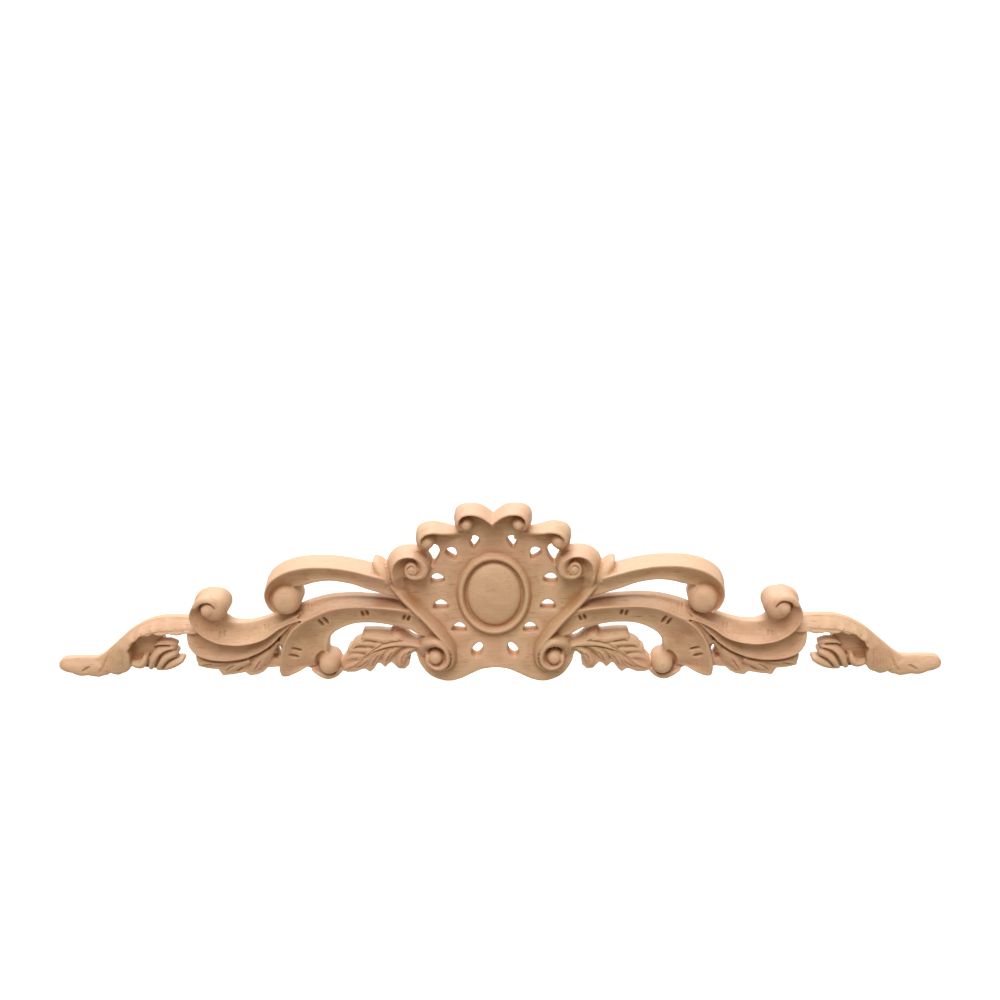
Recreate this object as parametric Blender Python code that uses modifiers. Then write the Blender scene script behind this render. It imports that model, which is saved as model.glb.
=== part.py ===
"""Carved wood applique: a pierced scroll ornament cut from one board, flat at the back.

The ornament is symmetric, so its right half is carved and mirrored. Every element is given in
millimetres as it is measured on the real piece: x to the right of the middle, z up, and depth
forward from the flat back, which lies in the plane y = 0 with the origin behind the medallion.
"""
import math

import bmesh
import bpy
from mathutils import Vector

MM = 0.001

# Driving dimensions, in millimetres.
RIM = 21.0            # depth of the highest rims, which is the thickness of the board
PLATE = 8.0           # depth of the dished plate at the medallion
CAP = 10.4            # depth of the plate at its edge
DISH = (96, 40, 125)  # half width, half depth and half height of the hollow of the plate
DISH_DOWN = -2.0      # height of its middle
POCKET = (122.0, -35.0, 1.5, 3.4)  # middle and half sizes of the hole beside the fringe
OVAL_DOWN = -1.0      # height of the middle of the medallion
FULLNESS = 0.85       # power of the sine by which a full band rises
SPREAD_TOP = 5.0      # a wall that spreads towards the back is upright below this depth
WAIST_AT = 0.72       # share of its depth at which such a wall
WAIST_OUT = 0.35      # has spread by this share
WIDEST_LAND = 0.45    # a land takes no more of its band than this share
BEHIND = -3.0         # every element starts this far behind the back, which is then planed flat
VOXEL = 0.9           # grain of the surface in which the elements are made one body
TRIANGLES = 9000      # faces of the finished body, about

WOOD_COLOUR = (0.80, 0.60, 0.44, 1.0)
WOOD_ROUGHNESS = 0.72


def clear_scene():
    for thing in list(bpy.data.objects):
        bpy.data.objects.remove(thing, do_unlink=True)


def new_collection(name):
    collection = bpy.data.collections.new(name)
    bpy.context.scene.collection.children.link(collection)
    return collection


def wood():
    """Bare, unfinished light hardwood."""
    material = bpy.data.materials.new("carved_wood")
    material.use_nodes = True
    shader = material.node_tree.nodes["Principled BSDF"]
    shader.inputs["Base Color"].default_value = WOOD_COLOUR
    shader.inputs["Roughness"].default_value = WOOD_ROUGHNESS
    shader.inputs["Metallic"].default_value = 0.0
    return material


def place(x, z, depth):
    """A point of the ornament in metres."""
    return Vector((x * MM, -depth * MM, z * MM))


def spline(rows, steps):
    """A smooth curve through rows of numbers, with `steps` samples to a span."""
    curve = []
    for i in range(len(rows) - 1):
        before = rows[max(i - 1, 0)]
        start = rows[i]
        end = rows[i + 1]
        after = rows[min(i + 2, len(rows) - 1)]
        for k in range(steps):
            t = k / steps
            row = []
            for a, b, c, d in zip(before, start, end, after):
                row.append(0.5 * (2 * b + (c - a) * t + (2 * a - 5 * b + 4 * c - d) * t * t
                                  + (3 * b - a - 3 * c + d) * t ** 3))
            curve.append(tuple(row))
    curve.append(tuple(rows[-1]))
    return curve


def loft(name, rings):
    """A closed solid through rings of points, all of one length."""
    mesh = bmesh.new()
    loops = [[mesh.verts.new(point) for point in ring] for ring in rings]
    count = len(loops[0])
    for here, there in zip(loops, loops[1:]):
        for i in range(count):
            j = (i + 1) % count
            mesh.faces.new((here[i], here[j], there[j], there[i]))
    mesh.faces.new(loops[0][::-1])
    mesh.faces.new(loops[-1])
    bmesh.ops.remove_doubles(mesh, verts=mesh.verts, dist=1e-6)
    bmesh.ops.recalc_face_normals(mesh, faces=mesh.faces)
    data = bpy.data.meshes.new(name)
    mesh.to_mesh(data)
    mesh.free()
    solid = bpy.data.objects.new(name, data)
    bpy.context.scene.collection.objects.link(solid)
    return solid


def band(name, edges, full=False, land=0.5, steps=3, columns=8):
    """A carved band between two edges.

    Each row of edges holds x, z, depth of one edge, the same of the other, how far the face rises
    between them, and how far the outer wall spreads towards the back. A land is left flat along the
    first edge. A full band rises more steeply beside its edges.
    """
    rings = []
    for ax, az, ad, bx, bz, bd, rise, spread in spline(edges, steps):
        across = Vector((ax - bx, az - bz))
        width = max(across.length, 0.1)
        across.normalize()
        low = (ax + across.x * spread, az + across.y * spread)
        waist = (ax + across.x * spread * WAIST_OUT, az + across.y * spread * WAIST_OUT)
        ring = [place(*low, BEHIND), place(*low, min(ad, SPREAD_TOP)), place(*waist, ad * WAIST_AT)]
        ring.append(place(ax, az, ad))
        start = min(land / width, WIDEST_LAND)
        for i in range(columns + 1):
            u = i / columns
            bulge = math.sin(math.pi * u) ** FULLNESS if full else 4 * u * (1 - u)
            reach = start + (1 - start) * u
            depth = ad + (bd - ad) * u + rise * bulge
            ring.append(place(ax + (bx - ax) * reach, az + (bz - az) * reach, depth))
        ring.append(place(bx, bz, BEHIND))
        rings.append(ring)
    return loft(name, rings)


def rib(name, path, steps=3, shoulder=0.55):
    """A rounded rib along a path of rows x, z, half width, depth of its crest."""
    points = spline(path, steps)
    rings = []
    for i, (x, z, half, depth) in enumerate(points):
        ahead = points[min(i + 1, len(points) - 1)]
        behind = points[max(i - 1, 0)]
        run = Vector((ahead[0] - behind[0], ahead[1] - behind[1])).normalized()
        spots = []
        for k in range(7):
            side = 1 - k / 3
            drop = half * shoulder * side * side
            spots.append((x - run.y * half * side, z + run.x * half * side, depth - drop))
        ring = [place(spots[0][0], spots[0][1], BEHIND)]
        ring += [place(*spot) for spot in spots]
        ring.append(place(spots[-1][0], spots[-1][1], BEHIND))
        rings.append(ring)
    return loft(name, rings)


def oval(x, z, wide, high, depth, sides):
    ring = []
    for i in range(sides):
        angle = 2 * math.pi * i / sides
        ring.append(place(x + wide * math.cos(angle), z + high * math.sin(angle), depth))
    return ring


def boss(name, x, z, wide, high, base, top, square=1.0, sides=24):
    """A round boss with a domed front, flatter for a small square; wide and high are half sizes."""
    rings = [oval(x, z, wide, high, BEHIND, sides), oval(x, z, wide, high, base, sides)]
    for angle in (0.35, 0.7, 1.0, 1.3, 1.5):
        size = math.cos(angle) ** square
        rings.append(oval(x, z, wide * size, high * size, base + (top - base) * math.sin(angle), sides))
    return loft(name, rings)


def sawn(name, outline, depth):
    """A flat outline with its thickness, from a filled curve."""
    curve = bpy.data.curves.new(name, "CURVE")
    curve.dimensions = "2D"
    curve.fill_mode = "BOTH"
    curve.extrude = (depth - BEHIND) / 2 * MM
    line = curve.splines.new("POLY")
    line.points.add(len(outline) - 1)
    for point, (x, z) in zip(line.points, outline):
        point.co = (x * MM, z * MM, 0.0, 1.0)
    line.use_cyclic_u = True
    flat = bpy.data.objects.new(name, curve)
    bpy.context.scene.collection.objects.link(flat)
    flat.rotation_euler = (math.radians(90), 0, 0)
    flat.location = (0, -(depth + BEHIND) / 2 * MM, 0)
    bpy.context.view_layer.update()
    return solid_from(flat)


def solid_from(source):
    """A plain mesh object of what another object looks like, in its place."""
    graph = bpy.context.evaluated_depsgraph_get()
    data = bpy.data.meshes.new_from_object(source.evaluated_get(graph))
    data.transform(source.matrix_world)
    mesh = bmesh.new()
    mesh.from_mesh(data)
    bmesh.ops.remove_doubles(mesh, verts=mesh.verts, dist=1e-6)
    bmesh.ops.recalc_face_normals(mesh, faces=mesh.faces)
    mesh.to_mesh(data)
    mesh.free()
    name = source.name
    bpy.data.objects.remove(source, do_unlink=True)
    solid = bpy.data.objects.new(name, data)
    bpy.context.scene.collection.objects.link(solid)
    return solid


def subtract(solid, cutter):
    """Solid less cutter, as a new plain mesh object; both are used up."""
    cut = solid.modifiers.new("cut", "BOOLEAN")
    cut.operation = "DIFFERENCE"
    cut.solver = "EXACT"
    cut.object = cutter
    bpy.context.view_layer.update()
    done = solid_from(solid)
    bpy.data.objects.remove(cutter, do_unlink=True)
    return done


def ball(name, x, z, depth, wide, deep, high):
    """A flattened sphere, given by its middle and half sizes."""
    mesh = bmesh.new()
    bmesh.ops.create_uvsphere(mesh, u_segments=48, v_segments=32, radius=1.0)
    for vert in mesh.verts:
        vert.co = place(x + wide * vert.co.x, z + high * vert.co.z, depth - deep * vert.co.y)
    bmesh.ops.recalc_face_normals(mesh, faces=mesh.faces)
    data = bpy.data.meshes.new(name)
    mesh.to_mesh(data)
    mesh.free()
    solid = bpy.data.objects.new(name, data)
    bpy.context.scene.collection.objects.link(solid)
    return solid


def piercing(x, z, wide, high, lean, droop, turn):
    """A hole through the plate: an egg shape whose lower corners can droop."""
    rings = []
    for depth, scale in ((BEHIND - 2, 0.98), (PLATE, 1.0), (RIM + 4, 1.1)):
        ring = []
        for i in range(16):
            angle = 2 * math.pi * i / 16
            px = wide / 2 * math.cos(angle) * (1 - lean * math.sin(angle)) * scale
            pz = high / 2 * math.sin(angle) * scale - droop * math.cos(angle) ** 2
            ring.append(place(x + px * math.cos(turn) - pz * math.sin(turn),
                              z + px * math.sin(turn) + pz * math.cos(turn), depth))
        rings.append(ring)
    return loft("piercing", rings)


def plate():
    """The dished middle plate with its pierced ring of holes."""
    outline = [(-6, 43.9), (0, 43.9)]
    outline += spline([(0, 43.9), (4.2, 47.2), (8, 49), (12, 49.4), (16.2, 48.4), (19.4, 46.2),
                     (20.8, 42.6), (20.4, 38.4), (18.4, 34.9)], 3)[1:]
    outline += spline([(18.4, 34.9), (22, 35.3), (25, 36.4), (29, 38.2), (33.5, 39.2), (38.3, 38),
                     (41.6, 34.8), (42.4, 31), (41.3, 26.2)], 3)[1:]
    outline += spline([(42, 25.2), (47.5, 25.2), (53.5, 23.4), (57.6, 19.4), (58.8, 14.2), (57.8, 8.5),
                     (52, 1), (46, -7), (41, -16), (38, -25)], 3)
    outline += spline([(45, -30), (44.2, -36.5), (42, -43.4), (36.4, -50.2), (27.7, -53.4), (20, -52),
                     (13.1, -48.6), (7, -46), (0, -45)], 3)
    outline += [(-6, -45.4)]
    board = sawn("plate", outline, CAP)
    board = subtract(board, ball("dish", 0, DISH_DOWN, PLATE + DISH[1], *DISH))
    holes = ((10.6, 29.2, 5.4, 8.4, -0.62, 0.0, 0.1), (22.8, 22.6, 5.6, 8.2, -0.55, 0.0, -0.5),
             (33.2, 22.4, 6.4, 12.6, -0.25, 0.0, 0.2), (31.4, 8.2, 8.2, 6.6, 0.15, 0.7, -0.12),
             (29.8, -7.3, 8.8, 6.2, 0.2, 1.0, 0.0), (19.8, -21.1, 8.6, 5.9, 0.2, 1.0, 0.1),
             (9.9, -34.4, 5.6, 10.4, 0.1, 0.0, 0.6))
    for hole in holes:
        board = subtract(board, piercing(*hole))
    return board


def medallion():
    """The oval at the middle: a raised ring, a deep groove and a low dome."""
    profile = ((22.2, 25.8, BEHIND), (22.2, 25.8, 7.4), (21.2, 24.8, 8.1), (20.4, 24.0, 9.2),
               (19.8, 23.4, 10.8), (19.1, 22.7, 12.0), (18.2, 21.8, 12.4), (17.3, 20.9, 11.9),
               (16.7, 20.3, 10.6), (16.3, 19.9, 8.4), (16.1, 19.7, 5.8), (15.7, 19.2, 5.2),
               (15.3, 18.8, 5.8), (15.1, 18.5, 8.6), (14.5, 17.8, 10.1), (13.2, 16.2, 11.1),
               (11.0, 13.5, 12.0), (7.5, 9.2, 12.8), (3.5, 4.3, 13.2), (0.6, 0.7, 13.3))
    return loft("medallion", [oval(0, OVAL_DOWN, wide, high, depth, 40) for wide, high, depth in profile])


def crest():
    """The top pair of scrolls meets in a notch; each curls out round a small ball."""
    return [band("crest", [(0, 43.9, 21, 0, 37, 9.6, -1.5, 0), (4.2, 47.2, 21, 4.8, 41, 9.6, -2, 0),
                (8, 48.9, 21, 8.6, 44.4, 9.6, -1.5, 0), (12, 49.4, 21, 12, 46, 9.6, -1, 0),
                (16, 48.5, 21, 15, 45.6, 9.6, -1, 0.6), (18.6, 45.9, 21, 16.6, 44.4, 10, -0.5, 1.8),
                (19.2, 42.4, 20.5, 17, 42.4, 11, 0, 2.3),
                (18.2, 39.2, 19.5, 16.6, 40.6, 12, 0, 2.6),
                (15.8, 37.6, 18, 15, 39.4, 12.5, 0, 2.2), (13, 37.4, 16, 13.2, 39.2, 12, 0, 1)], land=1.1),
            boss("crest_ball", 14.1, 42.2, 3.0, 3.0, 13.5, 18.4, 0.8)]


def shoulder():
    """The second pair of scrolls, lower and wider than the crest."""
    return [band("shoulder", [(11.5, 35.6, 9.4, 11.5, 31, 9, 0, 0),
                (15, 36.0, 10.6, 14.5, 31, 9, 0, 0), (19, 36.3, 12.6, 19, 31, 9, -0.6, 0),
                (22.5, 36.6, 15, 23, 31.6, 9, -1, 0), (27, 37.8, 18.6, 27.3, 33.4, 9.2, -1.5, 0),
                (32.4, 39.1, 21, 32.6, 36.2, 9.4, -1, 0),
                (36.8, 37.9, 21, 35.6, 35.8, 9.4, -1, 0.8), (39.6, 35, 21, 37.5, 34, 10, -0.5, 2.4),
                (39.9, 31.2, 20.5, 37.4, 31.4, 12, 0, 3),
                (38.2, 28.0, 19.5, 36.6, 29.6, 13.5, 0, 3),
                (34.8, 26.4, 18, 34.4, 28.4, 14, 0, 2.5)], land=1.1),
            boss("shoulder_ball", 34.9, 32.0, 4.0, 4.0, 13.5, 19.4, 0.8)]


def stem():
    """The S-shaped stem beside the medallion, with a volute at each end."""
    return [band("upper_volute", [(52.6, 1.4, 14.5, 46.4, 3.4, 11.5, 0, 3),
                (54.6, 7, 18, 48.6, 8.6, 14.6, -0.4, 4), (55.4, 11, 20, 48.8, 11.4, 15.2, -0.8, 4),
                (55.9, 15.4, 20.5, 48.8, 15.4, 15, -0.9, 3.8),
                (55, 19.6, 21, 48.4, 19, 14.6, -0.9, 3.2),
                (52.2, 23.2, 21, 46.8, 21.4, 14.2, -0.8, 1.8),
                (47.6, 25.1, 21, 44.6, 22, 14, -0.6, 0.4), (43, 24.9, 21, 42.2, 21.4, 14, 0.2, 0.2),
                (38.9, 22.9, 20.8, 40.9, 20, 15, 1.2, 0.6),
                (36.4, 20.2, 20.4, 40.2, 18.4, 15.6, 1.6, 1.2),
                (35.4, 16.9, 20, 40.1, 16.6, 16, 1.8, 1.8),
                (36.2, 13.8, 19.8, 40.4, 15, 16.4, 1.8, 2.0),
                (38.4, 11.7, 19.6, 41.4, 13.8, 16.4, 1.8, 1.8),
                (41.4, 10.9, 19.4, 43, 13.3, 16.8, 1.5, 1.4),
                (44.6, 11, 19.3, 44.8, 13.4, 17, 1.3, 1.0),
                (47, 12.3, 19.2, 46.1, 14.4, 17.2, 1.1, 0.6),
                (48.3, 14.8, 19.2, 46.7, 16, 17.4, 0.9, 0.3),
                (48.2, 17.8, 19.2, 46.4, 17.6, 17.6, 0.8, 0),
                (46.8, 20, 19.2, 45.4, 18.7, 17.6, 0.6, 0),
                (44.6, 20.8, 19.2, 44, 19.1, 17.6, 0.6, 0),
                (42.4, 19.6, 19, 43, 18.4, 17.6, 0.4, 0),
                (41.4, 17.6, 18.8, 42.4, 17.2, 17.6, 0.2, 0)], land=0.9),
            boss("upper_floor", 45.6, 16.4, 8.2, 8.0, 14.4, 14.8),
            boss("upper_eye", 44.1, 16.3, 2.9, 2.9, 17.2, 20, 0.8),
            band("stem", [(59, 12, 16.6, 49.6, 9, 11, 1.6, 0),
                (57.4, 6.5, 16.2, 47.2, 4.2, 10.8, 2.6, 0), (54, 0.5, 15.4, 43, -2, 10.4, 4, 0),
                (48.8, -6, 14.8, 37.4, -9.2, 9.8, 5.4, 0),
                (41.8, -13.4, 14.2, 31.2, -16.8, 9.4, 6.6, 0),
                (35.8, -20.4, 14, 26.4, -23.4, 9.2, 7, 0),
                (30.8, -25.8, 13.8, 23.4, -28.6, 9, 7, 0),
                (27.2, -29.6, 13.4, 22, -32.6, 8.8, 6.4, 0),
                (25.4, -34, 13, 21.7, -36.4, 8.6, 5.6, 0),
                (25.4, -38.6, 12.5, 22, -40.4, 8.4, 5, 0), (27, -42, 12, 24, -44.6, 8.2, 4.4, 0),
                (30.6, -44.2, 11.5, 29, -46.8, 8, 3.6, 0), (34.8, -43.8, 11, 35, -46.2, 8, 2.4, 0),
                (38.2, -41.4, 10.5, 39.4, -43.6, 7.8, 1.2, 0)], full=True),
            band("lower_volute", [(43.6, -41, 8, 38.8, -40, 9.6, 0, 0),
                (43.6, -36, 10.5, 38.2, -36.6, 12, 0.4, 0.3),
                (42.6, -31.4, 13.6, 37.6, -33.2, 13, 1, 0.8),
                (39.8, -27.2, 16.6, 36.4, -31.8, 13.4, 1.8, 1.2),
                (36.2, -25.2, 18.2, 34.6, -31.2, 13.4, 2.6, 1),
                (32, -24.8, 19, 32, -31.2, 13.4, 3, 0),
                (27.8, -27.8, 19.2, 29.4, -32.4, 13.2, 3, 0),
                (25.4, -32.4, 19.2, 28.2, -34.6, 13, 2.8, 0),
                (25, -37.6, 19, 28, -37.8, 13, 2.6, 0), (26.8, -41.6, 18.4, 29.4, -40, 13, 2.4, 0),
                (30.8, -43.8, 17.8, 31.7, -41.3, 13.2, 2.2, 0),
                (35, -43, 17.4, 34.6, -40.8, 14.6, 1.8, 0),
                (38, -40.6, 17, 36.4, -38.8, 15.4, 1.6, 0),
                (39, -37.4, 16.6, 36.8, -37, 16, 1.2, 0), (38.4, -34.6, 16, 36.4, -35.2, 16, 0.6, 0)]),
            boss("lower_eye", 33.4, -36.4, 4.5, 4.4, 13.5, 19.4, 0.6)]


def arm():
    """The upper scroll, hollow in front, which ends in a flat ball; a bud sits at its root."""
    return [band("arm", [(49.5, 4, 11, 45, -5.6, 11, 0, 0),
                (54.6, 8.2, 14.6, 52, -1.8, 13.6, -0.6, 0), (60, 11.9, 19.4, 59.4, 1.5, 16, -1, 0),
                (68, 14.7, 21, 69, 5.1, 16.6, -1.2, 0), (77, 17.2, 21, 78, 8.4, 16.6, -1.2, 0),
                (88, 19, 21, 88.8, 10.3, 16.6, -1.2, 0), (98.3, 19.4, 21, 97.6, 9.6, 16.6, -1.2, 0),
                (106.2, 18.6, 21, 103.6, 7.5, 16, -1.2, 0.3),
                (113.2, 16.7, 21, 108.8, 6.2, 15, -1.2, 0.6),
                (119.2, 13.6, 21, 114.2, 5.2, 14, -1.2, 1),
                (123.6, 9.6, 21, 118.8, 3.0, 13.5, -1.2, 1.4),
                (125.9, 4.8, 21, 121.2, 0, 13.5, -1.2, 1.6),
                (126, -0.6, 20.5, 121.6, -3.6, 13.5, -1, 1.6),
                (123.9, -5.6, 20, 119.6, -7, 14, -1, 1.2),
                (120.2, -9.4, 19, 116, -9, 14.5, -0.5, 0.6)]),
            boss("arm_ball", 115.0, -2.1, 8.2, 8.2, 13.5, 20.6, 0.6),
            rib("bud", [(56, 5, 2.0, 14), (59, 9.4, 2.8, 18.5), (62, 13.8, 3.1, 17.5),
                (65, 17.2, 2.2, 14), (66.6, 18.8, 0.8, 11)], shoulder=0.9)]


def long_scroll():
    """The long scroll behind the front one; it runs out to the snail."""
    return [band("long_scroll", [(44, -12, 8, 42, -13.4, 16, -1, 0),
                (50, -7.5, 7, 49, -9.2, 17.2, -2, 0), (57, -4.9, 6.5, 56.6, -7.2, 17.8, -2.6, 0),
                (64, -3.9, 6.5, 64, -6.3, 17.8, -2.6, 0), (72, -3.2, 6.5, 72, -5.9, 17.8, -2.6, 0),
                (80, -2.9, 6.5, 79.6, -5.8, 17.8, -2.6, 0),
                (91, -3.6, 6.5, 90.4, -7.4, 17.8, -2.4, 0),
                (102, -6.3, 6.5, 99.6, -11.2, 17.8, -1.8, 0),
                (111, -9.8, 6.5, 107.4, -13.2, 17.6, -1.4, 0),
                (120.4, -13.4, 6.5, 114.6, -15.8, 17.4, -1.5, 0),
                (127, -15.8, 6.3, 121.2, -19.4, 17.4, -2, 0),
                (133, -17.7, 6, 128, -24.2, 17.8, -2, 0), (138.5, -18.8, 6, 136, -27, 18, -2, 0),
                (144, -18.9, 7, 145, -28, 18, -2, 0), (148.5, -17.8, 9, 154, -26.9, 18, -2, 0),
                (151.5, -15.6, 11, 161, -23.8, 18, -2, 0), (154, -13, 12, 166, -18.9, 18.5, -2, 0),
                (155.8, -10.5, 12, 168.7, -12.9, 19, -2, 0),
                (157, -8.4, 12, 168.4, -7.9, 19.5, -2, 0),
                (157.5, -6.6, 12.5, 165.6, -3.5, 19.5, -1.5, 0),
                (157, -5.4, 13.5, 161.4, -1.3, 19.4, -1, 0)]),
            boss("snail_ball", 156.0, -7.0, 7.8, 7.4, 12.5, 20.2, 0.8),
            boss("snail_back", 157.2, -6.4, 9.0, 6.8, 3, 12, 0.6),
            rib("snail_lip", [(166.4, -5.4, 1.4, 19.6), (163.2, -2.4, 1.8, 20),
                (159.4, -1.2, 2.0, 20.2), (155.8, -2.2, 1.6, 20.2), (153.8, -4.6, 1.0, 20)], shoulder=0.9),
            boss("snail_eye", 158.8, -7.2, 4.1, 4.0, 15.5, 21, 0.8)]


def front_scroll():
    """The broad front scroll, gently hollow, which turns in round a ball."""
    return [band("front_scroll", [(33, -18, 11, 31, -27, 11, 0, 0),
                (38.4, -13, 13.2, 36, -25.4, 12.4, -0.6, 0),
                (44.4, -9.3, 15.6, 42.4, -23.4, 13.2, -1, 0),
                (51, -6.9, 18, 49, -19.4, 13.5, -1.4, 0), (59, -5.9, 18, 57.5, -17.8, 13, -1.4, 0),
                (68.5, -5.3, 18, 66, -16.5, 13, -1.4, 0), (80, -5.1, 18, 75, -16.4, 13, -1.4, 0),
                (91, -6.8, 18, 82.5, -18.1, 13, -1.6, 0),
                (100, -10.6, 18, 88.8, -21.9, 12.5, -2, 0),
                (107.5, -14.8, 18, 91.6, -26.5, 12, -2.6, 0),
                (113.4, -20.3, 17.5, 92.4, -31, 12, -3, 0.2),
                (117.6, -27.3, 17, 92.6, -35.4, 12, -3, 0.4),
                (120.2, -35.3, 16, 96, -40.4, 9.6, -1.6, 0.4),
                (121.4, -41.8, 15, 101, -43.8, 8.5, -1.2, 0.4),
                (121.4, -46.4, 14, 107, -45, 10, -0.5, 0.4),
                (120.4, -49.2, 13, 112, -47.4, 11.5, 0, 0),
                (117.2, -49.6, 12, 114.6, -48.6, 11.5, 0, 0)]),
            rib("front_lip", [(85, -19.4, 0.8, 12.4), (89.8, -23.6, 1.4, 13),
                (92.8, -28.4, 1.8, 13.6), (94, -33.6, 2.0, 14.4), (94.2, -38.4, 2.2, 15.6)], shoulder=0.9),
            rib("front_toe", [(104, -46.2, 0.7, 10), (100, -48.2, 1.2, 12),
                (95.4, -49.6, 1.5, 13.2), (90.6, -48.6, 1.5, 13), (87, -45, 1.7, 12)]),
            sawn("toe_web", [(110, -45), (104, -46.4), (99.6, -49.2), (95, -50.2), (90.6, -49.4),
                (88, -46), (88, -40), (94, -35), (104, -36), (111, -40)], 7.5),
            boss("front_ball", 93.9, -42.2, 5.5, 5.5, 10, 18.8, 0.85)]


def leaf():
    """The leaf under the front scroll: a thin web, a midrib and lobes on both sides."""
    lobes = [[(45, -29.8, 1.4, 11.4), (49, -27.6, 2.2, 12), (53.4, -25.2, 2.6, 12),
              (57, -23.6, 1.6, 11)],
             [(54, -28.2, 2.2, 11.8), (60, -26.8, 2.4, 11.6), (67, -25.8, 2.2, 11.2),
              (73.6, -25.2, 1.6, 10.6)],
             [(57, -29.6, 2.0, 11.4), (64, -28, 2.6, 11.4), (70, -27, 2.4, 10.8), (75, -27, 1.2, 9.8)],
             [(63.4, -31.6, 1.8, 11.2), (70, -30.6, 2.4, 11), (76, -30.6, 2.2, 10.4),
              (80.6, -32.6, 1.0, 9.6)],
             [(69, -35, 1.8, 10.8), (75, -34.4, 2.4, 10.8), (80, -34.6, 2.0, 10.2),
              (83.4, -36.2, 1.0, 9.4)],
             [(74, -38.8, 1.6, 10.4), (79, -38.4, 2.2, 10.4), (84, -40.2, 1.8, 9.8),
              (86.6, -43.6, 1.0, 9)],
             [(44, -31.5, 2.0, 11.6), (48, -34, 2.6, 12), (51.6, -37.6, 3.0, 12),
              (53.2, -42, 3.2, 11.4), (52.4, -45, 2.2, 9.6)],
             [(53, -31, 2.0, 11.6), (57.6, -34.4, 2.6, 11.8), (61, -38.6, 2.8, 11.4),
              (62.5, -43, 2.0, 9.8)],
             [(60, -32.4, 1.8, 11.4), (64.6, -36, 2.4, 11.4), (68.6, -40.6, 2.8, 11),
              (71, -45.6, 2.0, 9.6)],
             [(66, -35.4, 1.8, 11), (70.4, -38.8, 2.4, 11), (75, -43, 2.8, 10.6), (79.6, -46, 2.4, 9.8),
              (84.6, -46.6, 1.8, 9.2)]]
    ribs = [rib(f"leaf_lobe_{i}", lobe, shoulder=0.8) for i, lobe in enumerate(lobes)]
    return [sawn("leaf_web", [(36, -31.8), (40, -29.9), (44, -28.2), (50, -25.9), (51.4, -23.4),
                (55, -22.2), (57.6, -22), (58.6, -24.2), (60, -24.4), (66.5, -23.6), (74.4, -24),
                (74.8, -26.6), (75.8, -29), (79, -32), (82.8, -33.2), (84, -37.5), (86.6, -43),
                (87.5, -46.6), (84, -48.2), (79, -48), (76, -46.4), (73.6, -46.4), (71, -48.2),
                (68.8, -46.4), (66.4, -42.6), (64.6, -43), (62.4, -45.4), (60.2, -43),
                (58.4, -42.2), (55, -46), (51.4, -46.4), (48.6, -43.8), (48.2, -40.6), (50, -38.6),
                (49, -36.4), (45, -35.6), (40, -37)], 9.4),
            rib("leaf_midrib", [(38, -31, 1.7, 13), (44, -30.4, 1.7, 13), (50.8, -30, 1.6, 12.8),
                (56.5, -30.3, 1.5, 12.6), (62, -31.6, 1.4, 12.4), (66.2, -33.4, 1.3, 12),
                (70, -36, 1.2, 11.6), (74, -39.2, 1.1, 11.2), (79, -42.6, 1.0, 10.8),
                (85, -45.4, 0.9, 10)])] + ribs


def hull():
    """The hollow crescent below the long scroll, with a fringe of small lobes."""
    web = sawn("fringe_web", [(170, -32), (169.6, -40.4), (168.4, -44.4), (163.4, -45.8),
                (157.4, -46.3), (155.2, -50.2), (149.3, -49.6), (142, -48.2), (139.7, -50.2),
                (135.5, -49.8), (131.5, -47.8), (128.9, -45.2), (122, -44.8), (116, -45),
                (108, -38), (104, -16), (108, -12), (122, -18), (130, -30), (145, -36)], 9.2)
    pocket = [oval(*POCKET, depth, 12) for depth in (BEHIND - 2, RIM + 4)]
    web = subtract(web, loft("pocket", pocket))
    lobes = [[(154, -40.6, 2.2, 11.4), (160, -41.2, 2.8, 11), (165.6, -42.6, 2.2, 10),
              (168.8, -44.2, 0.8, 8.8)],
             [(139, -39.4, 2.4, 11.8), (145.4, -42.4, 3.8, 11.2), (151, -45.8, 3.2, 10.2),
              (155, -49, 1.2, 8.8)],
             [(127, -33.6, 2.4, 12), (131.4, -38.8, 4.2, 11.6), (135.4, -44, 3.8, 10.6),
              (139, -48.8, 1.4, 8.8)],
             [(122, -28.4, 1.4, 12.2), (126.6, -35, 2.0, 11.4), (129.6, -41.4, 2.4, 10.4),
              (130.6, -45.4, 1.2, 9)],
             [(117.6, -39.6, 1.4, 10), (121, -41.6, 2.0, 10), (124.4, -43.6, 1.4, 9.2)]]
    ribs = [rib(f"fringe_{i}", lobe, shoulder=0.5) for i, lobe in enumerate(lobes)]
    return [band("hull", [(172.6, -21.5, 12, 167, -18, 11, -0.6, 0),
                (173.2, -26, 12.6, 165, -20.5, 11, -0.8, 0),
                (172, -31.5, 13, 161.5, -24, 11, -1, 0), (168.6, -36, 13.2, 158, -26.2, 11, -1, 0),
                (163, -38.5, 13.4, 154.5, -27.2, 11, -1, 0),
                (156.5, -39.6, 13.4, 150, -27.6, 11, -1, 0),
                (150, -39.7, 13.4, 145, -27.6, 11, -1, 0),
                (144, -38.8, 13.4, 140, -26.8, 11, -1, 0),
                (137.9, -37, 13.4, 134.5, -25.2, 11, -1, 0),
                (131.7, -34, 13.4, 129, -22.6, 11, -1, 0),
                (125.8, -29.8, 13.4, 123.5, -18.6, 11, -1, 0),
                (121.2, -25.2, 13.6, 117.6, -15.6, 11, -1, 0),
                (116.6, -20.4, 14, 112.6, -12.6, 12, -0.6, 0),
                (112, -15.6, 14.4, 108.4, -11, 13, 0, 0)]), web] + ribs


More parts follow.
